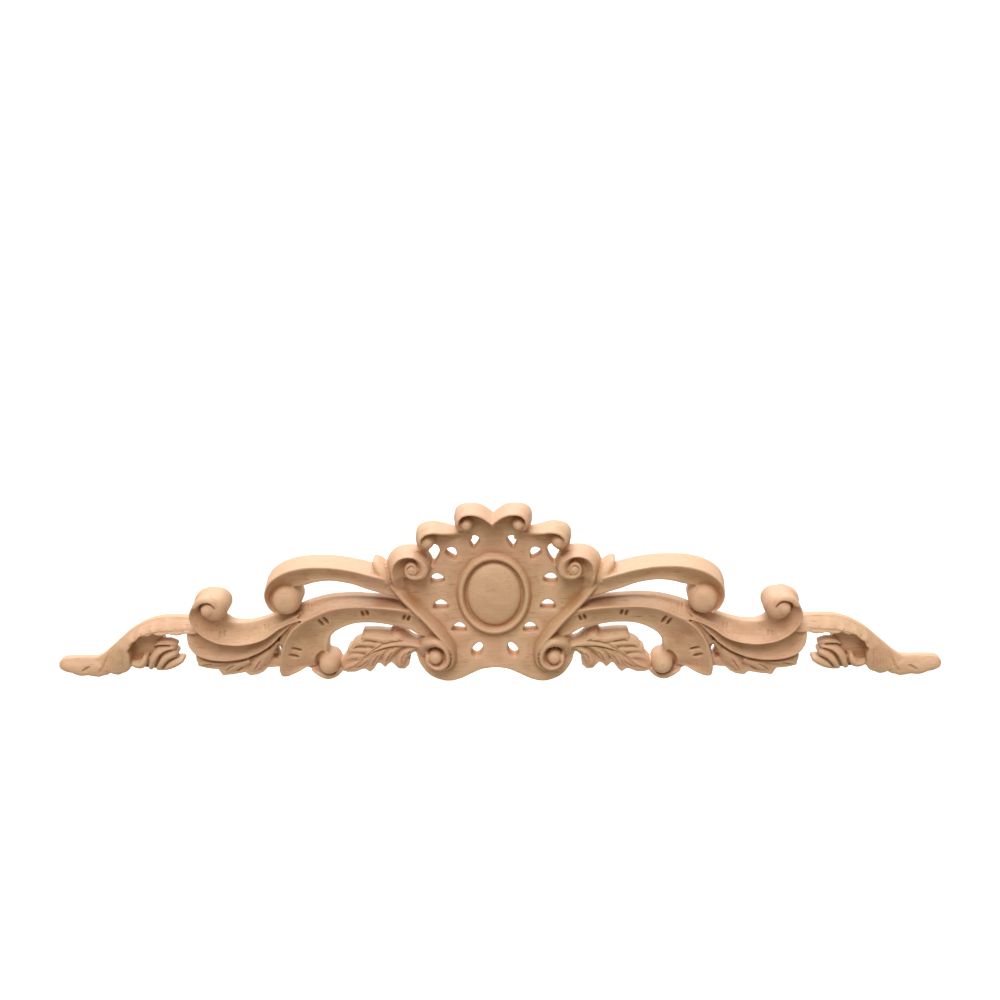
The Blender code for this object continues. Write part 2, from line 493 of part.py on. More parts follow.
def sprig():
    """The end leaf: it twists over, with a curled tip tucked under it."""
    petals = [[(199.4, -38.6, 1.0, 7.5), (194.4, -32.8, 1.9, 10), (189.6, -30.2, 2.4, 11),
              (185, -29.9, 2.2, 10.4), (181.4, -31.4, 1.0, 8)],
             [(198.6, -42.6, 1.2, 8.5), (193.6, -38.2, 2.2, 11), (188.8, -35, 2.4, 11.4),
              (184.8, -34.2, 2.0, 10.6), (181.6, -35.2, 1.0, 8)],
             [(196.4, -45.4, 1.2, 8.5), (190.4, -42.4, 2.6, 11), (185.4, -40.2, 2.6, 11),
              (181, -39.4, 1.8, 10), (178.4, -39.8, 0.8, 8)],
             [(203.6, -42.6, 1.2, 7.5), (198, -45.2, 1.2, 8.5), (192, -46, 1.6, 8.8),
              (186.6, -44.2, 1.8, 8.8), (182.4, -42, 1.2, 8)]]
    ribs = [rib(f"curl_{i}", petal, shoulder=0.9) for i, petal in enumerate(petals)]
    return [band("sprig", [(164, -17.2, 9, 164, -21, 12.5, 1, 0),
                (172.1, -16.2, 5, 171, -22.2, 13.5, 2, 0),
                (179.4, -15.9, 4.5, 178, -23.4, 13.5, 2.2, 0),
                (186.6, -15.9, 4.5, 185, -23.9, 13.5, 2.2, 0),
                (192.1, -16.9, 4.5, 191, -24.0, 13.5, 2.2, 0),
                (197.8, -18.8, 4.5, 196.5, -25, 13.5, 2.2, 0),
                (202.3, -21.2, 4.5, 200.5, -27.2, 13.5, 2.2, 0),
                (207.3, -24.3, 4.5, 204.6, -30, 13.5, 2.2, 0),
                (213.2, -29.4, 4.5, 208, -33.6, 13.2, 2.2, 0),
                (219.3, -34.8, 4.5, 209.6, -38.2, 12.6, 2.0, 0),
                (223.5, -38.4, 4.5, 208.6, -43.4, 11.4, 2.2, 0),
                (227, -40.5, 4.5, 212, -48, 9.4, 2.2, 0),
                (230, -40.9, 4.2, 217.4, -49.3, 8.4, 2.2, 0),
                (232.6, -40.9, 4, 221.2, -48.6, 8.0, 2.2, 0),
                (235.2, -40.8, 4, 224.6, -50.4, 8, 2.2, 0),
                (240, -40.8, 4.5, 230.6, -50.4, 8, 2.0, 0), (245, -41, 5, 238, -49.8, 8, 1.8, 0),
                (248.4, -42, 5.5, 244, -48.4, 7.5, 1.2, 0),
                (250.2, -44.4, 5.5, 249.4, -46.6, 6, 0.4, 0)]),
            sawn("sprig_floor", [(190, -20), (204, -25), (210, -36), (210, -42), (205.6, -43.6),
                (203, -44.4), (199, -46.4), (194, -47.3), (187.4, -45.8), (182.2, -42.3),
                (184, -36), (186, -28), (188, -24)], 6.5),
            rib("curl_knob", [(198, -35.6, 0.8, 8), (199.4, -38, 1.6, 10), (199.6, -41.2, 1.4, 10),
                (198.4, -43.4, 0.8, 8.5)], shoulder=0.9)] + ribs


def joined(name, solids):
    """All solids as loose shells of one mesh."""
    mesh = bmesh.new()
    for solid in solids:
        mesh.from_mesh(solid.data)
        bpy.data.objects.remove(solid, do_unlink=True)
    data = bpy.data.meshes.new(name)
    mesh.to_mesh(data)
    mesh.free()
    return bpy.data.objects.new(name, data)


def carve():
    """The whole ornament as one solid."""
    ornament = new_collection("carved_wood_applique")
    cutters = new_collection("cutters")
    solids = [plate(), medallion()]
    for element in (crest, shoulder, stem, arm, long_scroll, front_scroll, leaf, hull, sprig):
        solids += element()
    body = joined("carved_applique", solids)
    ornament.objects.link(body)
    body.data.materials.append(wood())

    saw = sawn("back_saw", [(-300, -100), (300, -100), (300, 100), (-300, 100)], 0)
    for vert in saw.data.vertices:
        if vert.co.y > 1 * MM:
            vert.co.y = 30 * MM
    bpy.context.scene.collection.objects.unlink(saw)
    cutters.objects.link(saw)
    saw.hide_render = True
    saw.display_type = "WIRE"

    whole = body.modifiers.new("both_halves", "MIRROR")
    whole.use_mirror_merge = False
    skin = body.modifiers.new("one_body", "REMESH")
    skin.mode = "VOXEL"
    skin.voxel_size = VOXEL * MM
    sand = body.modifiers.new("sand", "SMOOTH")
    sand.factor = 0.5
    sand.iterations = 2
    bpy.context.view_layer.update()
    graph = bpy.context.evaluated_depsgraph_get()
    faces = 2 * len(body.evaluated_get(graph).data.polygons)
    facets = body.modifiers.new("facets", "DECIMATE")
    facets.ratio = TRIANGLES / faces
    back = body.modifiers.new("flat_back", "BOOLEAN")
    back.operation = "DIFFERENCE"
    back.solver = "EXACT"
    back.object = saw


clear_scene()
carve()
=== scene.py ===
import math

import bpy
import numpy as np
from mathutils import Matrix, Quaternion, Vector


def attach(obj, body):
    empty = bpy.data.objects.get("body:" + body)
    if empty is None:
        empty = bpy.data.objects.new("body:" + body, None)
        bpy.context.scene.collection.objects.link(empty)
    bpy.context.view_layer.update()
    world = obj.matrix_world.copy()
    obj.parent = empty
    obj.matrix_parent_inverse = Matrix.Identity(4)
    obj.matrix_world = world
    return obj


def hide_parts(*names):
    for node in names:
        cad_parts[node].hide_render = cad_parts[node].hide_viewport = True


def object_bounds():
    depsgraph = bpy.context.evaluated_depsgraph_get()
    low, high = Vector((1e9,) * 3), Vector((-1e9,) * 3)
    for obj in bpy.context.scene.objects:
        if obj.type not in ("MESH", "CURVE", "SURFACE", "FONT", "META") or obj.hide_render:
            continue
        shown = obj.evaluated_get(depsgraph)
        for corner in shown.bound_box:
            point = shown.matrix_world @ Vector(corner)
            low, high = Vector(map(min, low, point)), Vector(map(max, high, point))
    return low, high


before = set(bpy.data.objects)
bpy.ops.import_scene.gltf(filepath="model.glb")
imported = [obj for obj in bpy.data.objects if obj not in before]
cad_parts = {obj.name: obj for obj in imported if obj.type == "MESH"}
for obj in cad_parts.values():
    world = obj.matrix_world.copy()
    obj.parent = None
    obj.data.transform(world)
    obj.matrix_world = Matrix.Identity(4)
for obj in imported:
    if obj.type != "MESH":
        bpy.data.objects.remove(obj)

cad_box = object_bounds()

# The middle plate is the ground of the board: sawn to its outline, sunk with a wide gouge so that
# it rises a little to the stems, and pierced by seven holes on each side.
# All elements are drawn for the right half in millimetres: x, z, and depth before the flat back.
MM = 0.001
GROUND = 8.0
CAP = 10.4
BEHIND = -0.6
FAR = 60.0
elements = []


def at(x, z, depth):
    """Where a point of the drawing is in the frame."""
    return Vector((x * MM, -depth * MM, z * MM))


def flowing(rows, steps):
    """A smooth curve through rows of numbers."""
    curve = []
    for i in range(len(rows) - 1):
        four = rows[max(i - 1, 0)], rows[i], rows[i + 1], rows[min(i + 2, len(rows) - 1)]
        for k in range(steps):
            t = k / steps
            curve.append(tuple(0.5 * (2 * b + (c - a) * t + (2 * a - 5 * b + 4 * c - d) * t * t
                                      + (3 * b - a - 3 * c + d) * t ** 3)
                               for a, b, c, d in zip(*four)))
    curve.append(tuple(rows[-1]))
    return curve


def pull_back(back):
    """Pulls the selected front straight back to one depth, which makes it a solid."""
    bpy.ops.mesh.extrude_region_move(TRANSFORM_OT_translate={"value": (0, FAR * MM, 0)})
    bpy.ops.transform.resize(value=(1, 0, 1), center_override=(0, -back * MM, 0))
    bpy.ops.mesh.select_all(action="SELECT")
    bpy.ops.mesh.normals_make_consistent(inside=False)
    bpy.ops.object.mode_set(mode="OBJECT")


def lay_grid(name, rows):
    """A grid primitive laid over rows of points (x, z, depth), left in edit mode."""
    bpy.ops.object.select_all(action="DESELECT")
    bpy.ops.mesh.primitive_grid_add(x_subdivisions=len(rows[0]) - 1, y_subdivisions=len(rows) - 1, size=1)
    block = bpy.context.object
    block.name = name
    for vert, point in zip(block.data.vertices, [point for row in rows for point in row]):
        vert.co = at(*point)
    elements.append(block)
    bpy.ops.object.mode_set(mode="EDIT")
    bpy.ops.mesh.select_all(action="SELECT")
    return block


def drape(name, rows, back=BEHIND):
    """A solid whose front is a grid over rows of points."""
    block = lay_grid(name, rows)
    pull_back(back)
    return block


def sawn(name, outline, depth, back=BEHIND):
    """A flat board cut to an outline of points (x, z)."""
    bpy.ops.object.select_all(action="DESELECT")
    bpy.ops.mesh.primitive_circle_add(vertices=len(outline), radius=1, fill_type="NGON")
    block = bpy.context.object
    block.name = name
    for vert, (x, z) in zip(block.data.vertices, outline):
        vert.co = at(x, z, depth)
    bpy.ops.object.mode_set(mode="EDIT")
    bpy.ops.mesh.select_all(action="SELECT")
    pull_back(back)
    elements.append(block)
    return block


def turned(name, rings):
    """A round solid through closed rings of points, from the back to the front."""
    block = lay_grid(name, [ring + ring[:1] for ring in rings])
    bpy.ops.mesh.remove_doubles(threshold=0.000001)
    bpy.ops.mesh.select_all(action="DESELECT")
    bpy.ops.mesh.select_mode(type="EDGE")
    bpy.ops.mesh.select_non_manifold()
    bpy.ops.mesh.edge_face_add()
    bpy.ops.mesh.select_mode(type="VERT")
    bpy.ops.mesh.select_all(action="SELECT")
    bpy.ops.mesh.normals_make_consistent(inside=False)
    bpy.ops.object.mode_set(mode="OBJECT")
    return block


def take_away(block, cutter):
    """Cuts one solid out of another and clears the cutter away."""
    elements.remove(cutter)
    cut = block.modifiers.new("cut", "BOOLEAN")
    cut.object = cutter
    cut.solver = "EXACT"
    bpy.context.view_layer.objects.active = block
    bpy.ops.object.modifier_apply(modifier=cut.name)
    bpy.data.objects.remove(cutter)


def drill(x, z, wide, high, lean, droop, turn):
    """An egg-shaped hole, wider in front than behind; its lower corners can droop."""
    rings = []
    for depth, scale in ((FAR / 2, 1.1), (GROUND, 1.0), (4, 0.98), (BEHIND - 2, 0.98)):
        ring = []
        for i in range(28):
            angle = 2 * math.pi * i / 28
            px = wide / 2 * math.cos(angle) * (1 - lean * math.sin(angle)) * scale
            pz = high / 2 * math.sin(angle) * min(scale * 0.5 + 0.5, 1.1)
            pz -= droop * math.cos(angle) ** 2 * scale
            ring.append((x + px * math.cos(turn) - pz * math.sin(turn),
                         z + px * math.sin(turn) + pz * math.cos(turn), depth))
        rings.append(ring)
    return turned("drill", rings)


edge = [(-6, 43.9), (0, 43.9)]
edge += flowing([(0, 43.9), (4.2, 47.2), (8, 49), (12, 49.4), (16.2, 48.4), (19.4, 46.2),
                 (20.8, 42.6), (20.4, 38.4), (18.4, 34.9)], 5)[1:]
edge += flowing([(18.4, 34.9), (22, 35.3), (25, 36.4), (29, 38.2), (33.5, 39.2), (38.3, 38),
                 (41.6, 34.8), (42.4, 31), (41.3, 26.2)], 5)[1:]
edge += flowing([(42, 25.2), (47.5, 25.2), (53.5, 23.4), (57.6, 19.4), (58.8, 14.2), (57.8, 8.5),
                 (52, 1), (46, -7), (41, -16), (38, -25)], 5)
edge += flowing([(45, -30), (44.2, -36.5), (42, -43.4), (36.4, -50.2), (27.7, -53.4), (20, -52),
                 (13.1, -48.6), (7, -46), (0, -45)], 5)
edge += [(-6, -45.4)]
plate = sawn("plate", edge, CAP)
bpy.ops.object.select_all(action="DESELECT")
bpy.ops.mesh.primitive_uv_sphere_add(segments=96, ring_count=64, radius=1)
dish = bpy.context.object
dish.scale = (96 * MM, 40 * MM, 125 * MM)
dish.location = at(0, -2, GROUND + 40)
bpy.ops.object.transform_apply(location=True, rotation=True, scale=True)
elements.append(dish)
take_away(plate, dish)
for hole in ((10.6, 29.2, 5.4, 8.4, -0.62, 0.0, 0.1), (22.8, 22.6, 5.6, 8.2, -0.55, 0.0, -0.5),
             (33.2, 22.4, 6.4, 12.6, -0.25, 0.0, 0.2), (31.4, 8.2, 8.2, 6.6, 0.15, 0.7, -0.12),
             (29.8, -7.3, 8.8, 6.2, 0.2, 1.0, 0.0), (19.8, -21.1, 8.6, 5.9, 0.2, 1.0, 0.1),
             (9.9, -34.6, 6.0, 9.4, 0.1, 0.4, 0.4)):
    take_away(plate, drill(*hole))


# The oval medallion stands up from the plate: a rounded ring, a deep groove inside it and a low dome.
# It is cut with a small gouge round the oval and sanded, so it is the smoothest surface of all.
OVAL_DOWN = -1.0
profile = [(22.2, 25.8, BEHIND), (22.2, 25.8, 7.4), (21.2, 24.8, 8.1), (20.4, 24.0, 9.2),
           (19.8, 23.4, 10.8), (19.1, 22.7, 12.0), (18.2, 21.8, 12.4), (17.3, 20.9, 11.9),
           (16.7, 20.3, 10.6), (16.3, 19.9, 8.4), (16.1, 19.7, 5.8), (15.7, 19.2, 5.2),
           (15.3, 18.8, 5.8), (15.1, 18.5, 8.6), (14.5, 17.8, 10.1), (13.2, 16.2, 11.1),
           (11.0, 13.5, 12.0), (7.5, 9.2, 12.8), (3.5, 4.3, 13.2), (0, 0, 13.3)]


def oval(x, z, wide, high, depth, sides=96):
    """A closed ring of points at one depth."""
    turns = [2 * math.pi * i / sides for i in range(sides)]
    return [(x + wide * math.cos(turn), z + high * math.sin(turn), depth) for turn in turns]


turned("medallion", [oval(0, OVAL_DOWN, *row) for row in profile])


# The crest and the shoulders are two pairs of small scrolls along the top edge. Each is a thin rim
# left at the full thickness of the board, hollowed behind it, that curls in round a little ball.
EASED = 0.45


def band(name, edges, lean=0, steps=6, columns=14, ripple=(0, 0), land=0.5):
    """A carved band between two edges.

    A row holds x, z, depth of one edge, the same of the other, how far the face rises between them,
    and how far the outer wall spreads towards the back. A land is left flat along the first edge. With
    a lean the rise is fuller and rounder across the face, still highest in the middle.
    """
    rows = []
    curve = flowing(edges, steps)
    for i, (ax, az, ad, bx, bz, bd, rise, spread) in enumerate(curve):
        across = Vector((ax - bx, az - bz))
        width = max(across.length, 0.1)
        across.normalize()
        wave = ripple[0] * abs(math.sin(math.pi * ripple[1] * i / len(curve))) / width
        row = [(ax + across.x * spread, az + across.y * spread, min(ad, 5.0))]
        row.append((ax + across.x * spread * 0.35, az + across.y * spread * 0.35, ad * 0.72))
        row.append((ax, az, ad - EASED))
        start = min(land / width, 0.45)
        row.append((ax - across.x * EASED, az - across.y * EASED, ad))
        for k in range(columns + 1):
            u = k / columns
            bulge = math.sin(math.pi * u) ** 0.85 if lean else 4 * u * (1 - u)
            reach = start + (1 - start) * u + wave * u
            row.append((ax + (bx - ax) * reach, az + (bz - az) * reach, ad + (bd - ad) * u + rise * bulge))
        row.append((row[-1][0] - across.x * EASED, row[-1][1] - across.y * EASED,
                    row[-1][2] - EASED * 1.4))
        rows.append(row)
    return drape(name, rows)


def boss(name, x, z, wide, high, base, top, square=1.0):
    """A round boss with a domed front, flatter for a small square."""
    rings = [oval(x, z, wide, high, BEHIND, 48), oval(x, z, wide, high, base, 48)]
    for k in range(1, 13):
        angle = k * math.pi / 24
        size = max(math.cos(angle), 0.0) ** square
        rings.append(oval(x, z, wide * size, high * size, base + (top - base) * math.sin(angle), 48))
    return turned(name, rings)


band("crest", [(0, 43.9, 21, 0, 37, 9.6, -1.5, 0), (4.2, 47.2, 21, 4.8, 41, 9.6, -2, 0),
               (8, 48.9, 21, 8.6, 44.4, 9.6, -1.5, 0), (12, 49.4, 21, 12, 46, 9.6, -1, 0),
               (16, 48.5, 21, 15, 45.6, 9.6, -1, 0.6), (18.6, 45.9, 21, 16.6, 44.4, 10, -0.5, 1.8),
               (19.2, 42.4, 20.5, 17, 42.4, 11, 0, 2.3), (18.2, 39.2, 18.4, 16.6, 40.6, 12, 0, 2.6),
               (15.8, 37.6, 15.5, 15, 39.4, 12.5, 0, 2.2), (13, 37.4, 12.5, 13.2, 39.2, 12, 0, 1)],
     land=1.1)
boss("crest_ball", 14.2, 41.6, 3.5, 3.5, 13.5, 19.2, 0.7)
band("shoulder", [(11.5, 35.6, 9.4, 11.5, 31, 9, 0, 0), (15, 36.0, 10.6, 14.5, 31, 9, 0, 0),
                  (19, 36.3, 12.6, 19, 31, 9, -0.6, 0), (22.5, 36.6, 15, 23, 31.6, 9, -1, 0),
                  (27, 37.8, 18.6, 27.3, 33.4, 9.2, -1.5, 0), (32.4, 39.1, 21, 32.6, 36.2, 9.4, -1, 0),
                  (36.8, 37.9, 21, 35.6, 35.8, 9.4, -1, 0.8), (39.6, 35, 21, 37.5, 34, 10, -0.5, 2.4),
                  (39.9, 31.2, 20, 37.4, 31.4, 12, 0, 3), (38.2, 28.0, 17.5, 36.6, 29.6, 13.5, 0, 3),
                  (34.8, 26.4, 14, 34.4, 28.4, 13, 0, 2.5)], land=1.1)
boss("shoulder_ball", 36.0, 31.8, 4.2, 4.2, 13.5, 19.4, 0.7)


# The stems stand on each side of the medallion like the letter S. Each is one rounded band that
# curls into a volute at the top and another at the foot, cut with a small deep gouge.
def rib(name, path, steps=6, columns=12, shoulder=0.55, back=BEHIND):
    """A rounded rib along a path of rows x, z, half width, depth of its top."""
    points = flowing(path, steps)
    rows = []
    for i, (x, z, half, depth) in enumerate(points):
        ahead = points[min(i + 1, len(points) - 1)]
        behind = points[max(i - 1, 0)]
        run = Vector((ahead[0] - behind[0], ahead[1] - behind[1])).normalized()
        row = []
        for k in range(columns + 1):
            side = 1 - 2 * k / columns
            row.append((x - run.y * half * side, z + run.x * half * side,
                        depth - half * shoulder * side * side))
        rows.append(row)
    return drape(name, rows, back)


band("upper_volute", [(52, -1, 12.5, 47.6, 0.4, 9.5, 0, 3), (54.6, 7, 17.6, 50.0, 7.8, 12.4, 0, 4),
                      (55.4, 11, 20, 48.8, 11.8, 14, -0.4, 4),
                      (55.9, 15.4, 20.5, 48.6, 15.4, 15, -0.9, 3.8),
                      (55, 19.6, 21, 48.4, 19, 14.6, -0.9, 3.2),
                      (52.2, 23.2, 21, 46.8, 21.4, 14.2, -0.8, 1.8),
                      (47.6, 25.1, 21, 44.6, 22, 14, -0.6, 0.4),
                      (43, 24.9, 21, 42.6, 21.2, 14.8, 0.2, 0.2),
                      (38.9, 22.9, 20.8, 41.6, 19.6, 15.8, 1.0, 0.4),
                      (36.4, 20.2, 20.4, 41.2, 18.2, 16.2, 1.4, 0.8),
                      (35.4, 16.9, 20, 41, 16.6, 16.6, 1.6, 1.2),
                      (36.2, 13.8, 19.8, 41.2, 15, 16.8, 1.6, 1.4),
                      (38.4, 11.7, 19.6, 42, 14, 16.8, 1.6, 1.4),
                      (41.4, 10.9, 19.4, 43, 13.3, 17.2, 1.4, 1.2),
                      (44.6, 11, 19.3, 44.8, 13.4, 17.6, 1.2, 1.0),
                      (47, 12.3, 19.2, 46.1, 14.4, 18, 0.9, 0.6),
                      (48.3, 14.8, 19.2, 46.7, 16, 18.2, 0.8, 0.3),
                      (48.2, 17.8, 19.2, 46.4, 17.6, 18.2, 0.6, 0),
                      (46.8, 20, 19.2, 45.4, 18.7, 18.2, 0.6, 0),
                      (44.6, 20.8, 19.2, 44, 19.1, 18.2, 0.4, 0), (42.4, 19.6, 19, 43, 18.4, 18, 0.4, 0),
                      (41.4, 17.6, 18.8, 42.4, 17.2, 18, 0.2, 0)], land=0.9)
boss("upper_floor", 45.6, 17.0, 7.6, 6.6, 14.4, 14.8)
boss("upper_eye", 44.2, 16.3, 3.1, 3.1, 17.6, 19.8, 0.7)
band("stem", [(59, 12, 14.5, 52.6, 9.4, 10.4, 1.0, 0), (57.4, 6.5, 15.8, 49.8, 4, 10.6, 2.4, 0),
              (54, 0.5, 15.4, 45, -2.4, 10.4, 3.8, 0), (48.8, -6, 14.8, 38.4, -9.4, 9.8, 5.2, 0),
              (41.8, -13.4, 14.2, 31.2, -16.8, 9.4, 6.6, 0), (35.8, -20.4, 14, 26.4, -23.4, 9.2, 7, 0),
              (30.8, -25.8, 13.8, 23.4, -28.6, 9, 7, 0), (27.2, -29.6, 13.4, 22, -32.6, 8.8, 6.4, 0),
              (25.4, -34, 13, 21.7, -36.4, 8.6, 5.6, 0), (25.4, -38.6, 12.5, 22, -40.4, 8.4, 5, 0),
              (27, -42, 12, 24, -44.6, 8.2, 4.4, 0), (30.6, -44.2, 11.5, 29, -46.8, 8, 3.6, 0),
              (34.8, -43.8, 11, 35, -46.2, 8, 2.4, 0), (38.2, -41.4, 10.5, 39.4, -43.6, 7.8, 1.2, 0)],
     lean=1, columns=18)
band("lower_volute", [(43.6, -41, 8, 38.8, -40, 9.6, 0, 0), (43.6, -36, 10.5, 38.2, -36.6, 12, 0.4, 0.3),
                      (42.6, -31.4, 13.6, 37.6, -33.2, 13, 1, 0.8),
                      (39.8, -27.2, 16.6, 36.4, -31.8, 13.4, 1.8, 1.2),
                      (36.2, -25.2, 18.2, 34.6, -31.2, 13.4, 2.6, 1),
                      (32, -24.8, 19, 32, -31.2, 13.4, 3, 0),
                      (27.8, -27.8, 19.2, 29.4, -32.4, 13.2, 3, 0),
                      (25.4, -32.4, 19.2, 28.4, -34.6, 14, 2.4, 0),
                      (25, -37.6, 19, 28.4, -37.8, 14.6, 2.0, 0),
                      (26.8, -41.6, 18.4, 29.8, -39.8, 15, 1.8, 0),
                      (30.8, -43.8, 17.8, 31.9, -41, 15.2, 1.6, 0),
                      (35, -43, 17.4, 34.6, -40.6, 15.4, 1.4, 0),
                      (38, -40.6, 17, 36.4, -38.8, 15.4, 1.6, 0),
                      (39, -37.4, 16.6, 36.8, -37, 16, 1.2, 0),
                      (38.4, -34.6, 16, 36.4, -35.2, 16, 0.6, 0)])
boss("lower_eye", 33.1, -36.5, 4.1, 4.0, 13.5, 19.2, 0.65)


# The arms are the upper scrolls that reach out from the stems. The face is hollowed so that it looks
# down, and the end is left as a flat ball with the arm curled round it. A bud sits at the root.
band("arm", [(49.5, 4, 11, 45, -5.6, 11, 0, 0), (54.6, 8.2, 14.6, 52, -1.8, 13.6, -0.6, 0),
             (60, 11.9, 19.4, 59.4, 1.5, 16, -1, 0), (68, 14.7, 21, 69, 5.1, 17.4, -1.2, 0),
             (77, 17.2, 21, 78, 8.4, 17.4, -1.2, 0), (88, 19, 21, 88.8, 10.3, 17.4, -1.2, 0),
             (98.3, 19.4, 21, 97.6, 9.6, 17.4, -1.2, 0), (106.2, 18.6, 21, 103.6, 7.5, 16, -1.2, 0.3),
             (113.2, 16.7, 21, 108.8, 6.2, 15, -1.2, 0.6), (119.2, 13.6, 21, 114.2, 5.2, 14, -1.2, 1),
             (123.6, 9.6, 21, 118.8, 3.0, 13.5, -1.2, 1.4), (125.9, 4.8, 21, 121.2, 0, 13.5, -1.2, 1.6),
             (126, -0.6, 20.5, 121.6, -3.6, 13.5, -1, 1.6), (123.9, -5.6, 20, 119.6, -7, 14, -1, 1.2),
             (120.2, -9.4, 19, 116, -9, 14.5, -0.5, 0.6)])
boss("arm_ball", 115.0, -2.1, 8.2, 8.2, 13.5, 20.6, 0.6)
rib("bud", [(56, 5, 2.0, 14), (59, 9.4, 2.8, 18.5), (62, 13.8, 3.1, 17.5), (65, 17.2, 2.2, 14),
            (66.6, 18.8, 0.8, 11)], shoulder=0.9)


# The long scrolls run from behind the stems to the snails near the ends. The face turns over on the
# way: sunk behind the front scroll, then tipped up, with a sharp lower edge over the crescent.
band("long_scroll", [(44, -12, 8, 42, -13.4, 16, -1, 0), (50, -7.5, 7, 49, -9.2, 17.2, -2, 0),
                     (57, -4.9, 6.5, 56.6, -7.2, 17.8, -2.6, 0), (64, -3.9, 6.5, 64, -6.3, 17.8, -2.6, 0),
                     (72, -3.2, 6.5, 72, -5.9, 17.8, -2.6, 0), (80, -2.9, 6.5, 79.6, -5.8, 17.8, -2.6, 0),
                     (91, -3.6, 6.5, 90.4, -7.4, 17.8, -2.4, 0),
                     (102, -6.3, 6.5, 99.6, -11.2, 17.8, -1.8, 0),
                     (111, -9.8, 6.5, 107.4, -13.2, 17.6, -1.4, 0),
                     (120.4, -13.4, 6.5, 114.6, -15.8, 17.4, -1.5, 0),
                     (127, -15.8, 6.3, 121.2, -19.4, 17.4, -2, 0),
                     (133, -17.7, 6, 128, -24.2, 17.8, -2, 0), (138.5, -18.8, 6, 136, -27, 18, -2, 0),
                     (144, -18.9, 7, 145, -28, 18, -2, 0), (148.5, -17.8, 9, 154, -26.9, 18, -2, 0),
                     (151.5, -15.6, 11, 161, -23.8, 18, -2, 0), (154, -13, 12, 166, -18.9, 18.5, -2, 0),
                     (155.8, -10.5, 12, 168.7, -12.9, 19, -2, 0),
                     (157, -8.4, 12, 168.4, -7.9, 19.5, -2, 0),
                     (157.5, -6.6, 12.5, 165.6, -3.5, 19.5, -1.5, 0),
                     (157, -5.4, 13.5, 161.4, -1.3, 19.4, -1, 0)])
boss("snail_ball", 156.0, -7.0, 7.8, 7.4, 12.5, 20.2, 0.8)
boss("snail_back", 157.2, -6.4, 9.0, 6.8, 3, 12, 0.6)
boss("snail_side", 160.2, -7.0, 8.9, 7.2, 3, 13, 0.6)
rib("snail_lip", [(166.4, -5.4, 1.4, 19.6), (163.2, -2.4, 1.8, 20), (159.4, -1.2, 2.0, 20.2),
                  (155.8, -2.2, 1.6, 20.2), (153.8, -4.6, 1.0, 20)], shoulder=0.9)
boss("snail_eye", 158.8, -7.2, 4.1, 4.0, 15.5, 21, 0.8)


# The front scrolls are the broadest bands, gently hollowed. Each ends in a point and a toe that turns
# in round a small ball.
band("front_scroll", [(33, -18, 11, 31, -27, 11, 0, 0), (38.4, -13, 13.2, 36, -25.4, 12.4, -0.6, 0),
                      (44.4, -9.3, 15.6, 42.4, -23.4, 13.2, -1, 0),
                      (51, -6.9, 18, 49, -19.4, 13.5, -1.4, 0), (59, -5.9, 18, 57.5, -17.8, 13, -1.4, 0),
                      (68.5, -5.3, 18, 66, -16.5, 13, -1.4, 0), (80, -5.1, 18, 75, -16.4, 13, -1.4, 0),
                      (91, -6.8, 18, 82.5, -18.1, 13, -1.6, 0),
                      (100, -10.6, 18, 89.4, -21.9, 12.5, -2, 0),
                      (107.5, -14.8, 18, 93, -26.2, 12, -2.6, 0),
                      (113.4, -20.3, 17.5, 94.2, -30.8, 12, -3, 0.2),
                      (117.6, -27.3, 17, 94.6, -34.8, 11, -2.6, 0.4),
                      (120.2, -35.3, 16, 96.4, -40.4, 10.4, -2, 0.4),
                      (121.4, -41.8, 15, 101, -43.8, 8.5, -1.2, 0.4),
                      (121.4, -46.4, 14, 107, -45, 10, -0.5, 0.4),
                      (120.4, -49.2, 13, 112, -47.4, 11.5, 0, 0),
                      (117.2, -49.6, 12, 114.6, -48.6, 11.5, 0, 0)],
     columns=18)
rib("front_toe", [(104, -46.2, 0.7, 10), (100, -48.2, 1.2, 12), (95.4, -49.6, 1.5, 13.2),
                  (90.6, -48.6, 1.5, 13), (87, -45, 1.7, 12)])
sawn("toe_web", [(110, -45), (104, -46.4), (99.6, -49.2), (95, -50.2), (90.6, -49.4), (88, -46), (88, -40),
                 (94, -35), (104, -36), (111, -40)], 7.5)
boss("front_ball", 93.4, -41.6, 5.9, 5.9, 10, 18.4, 0.75)


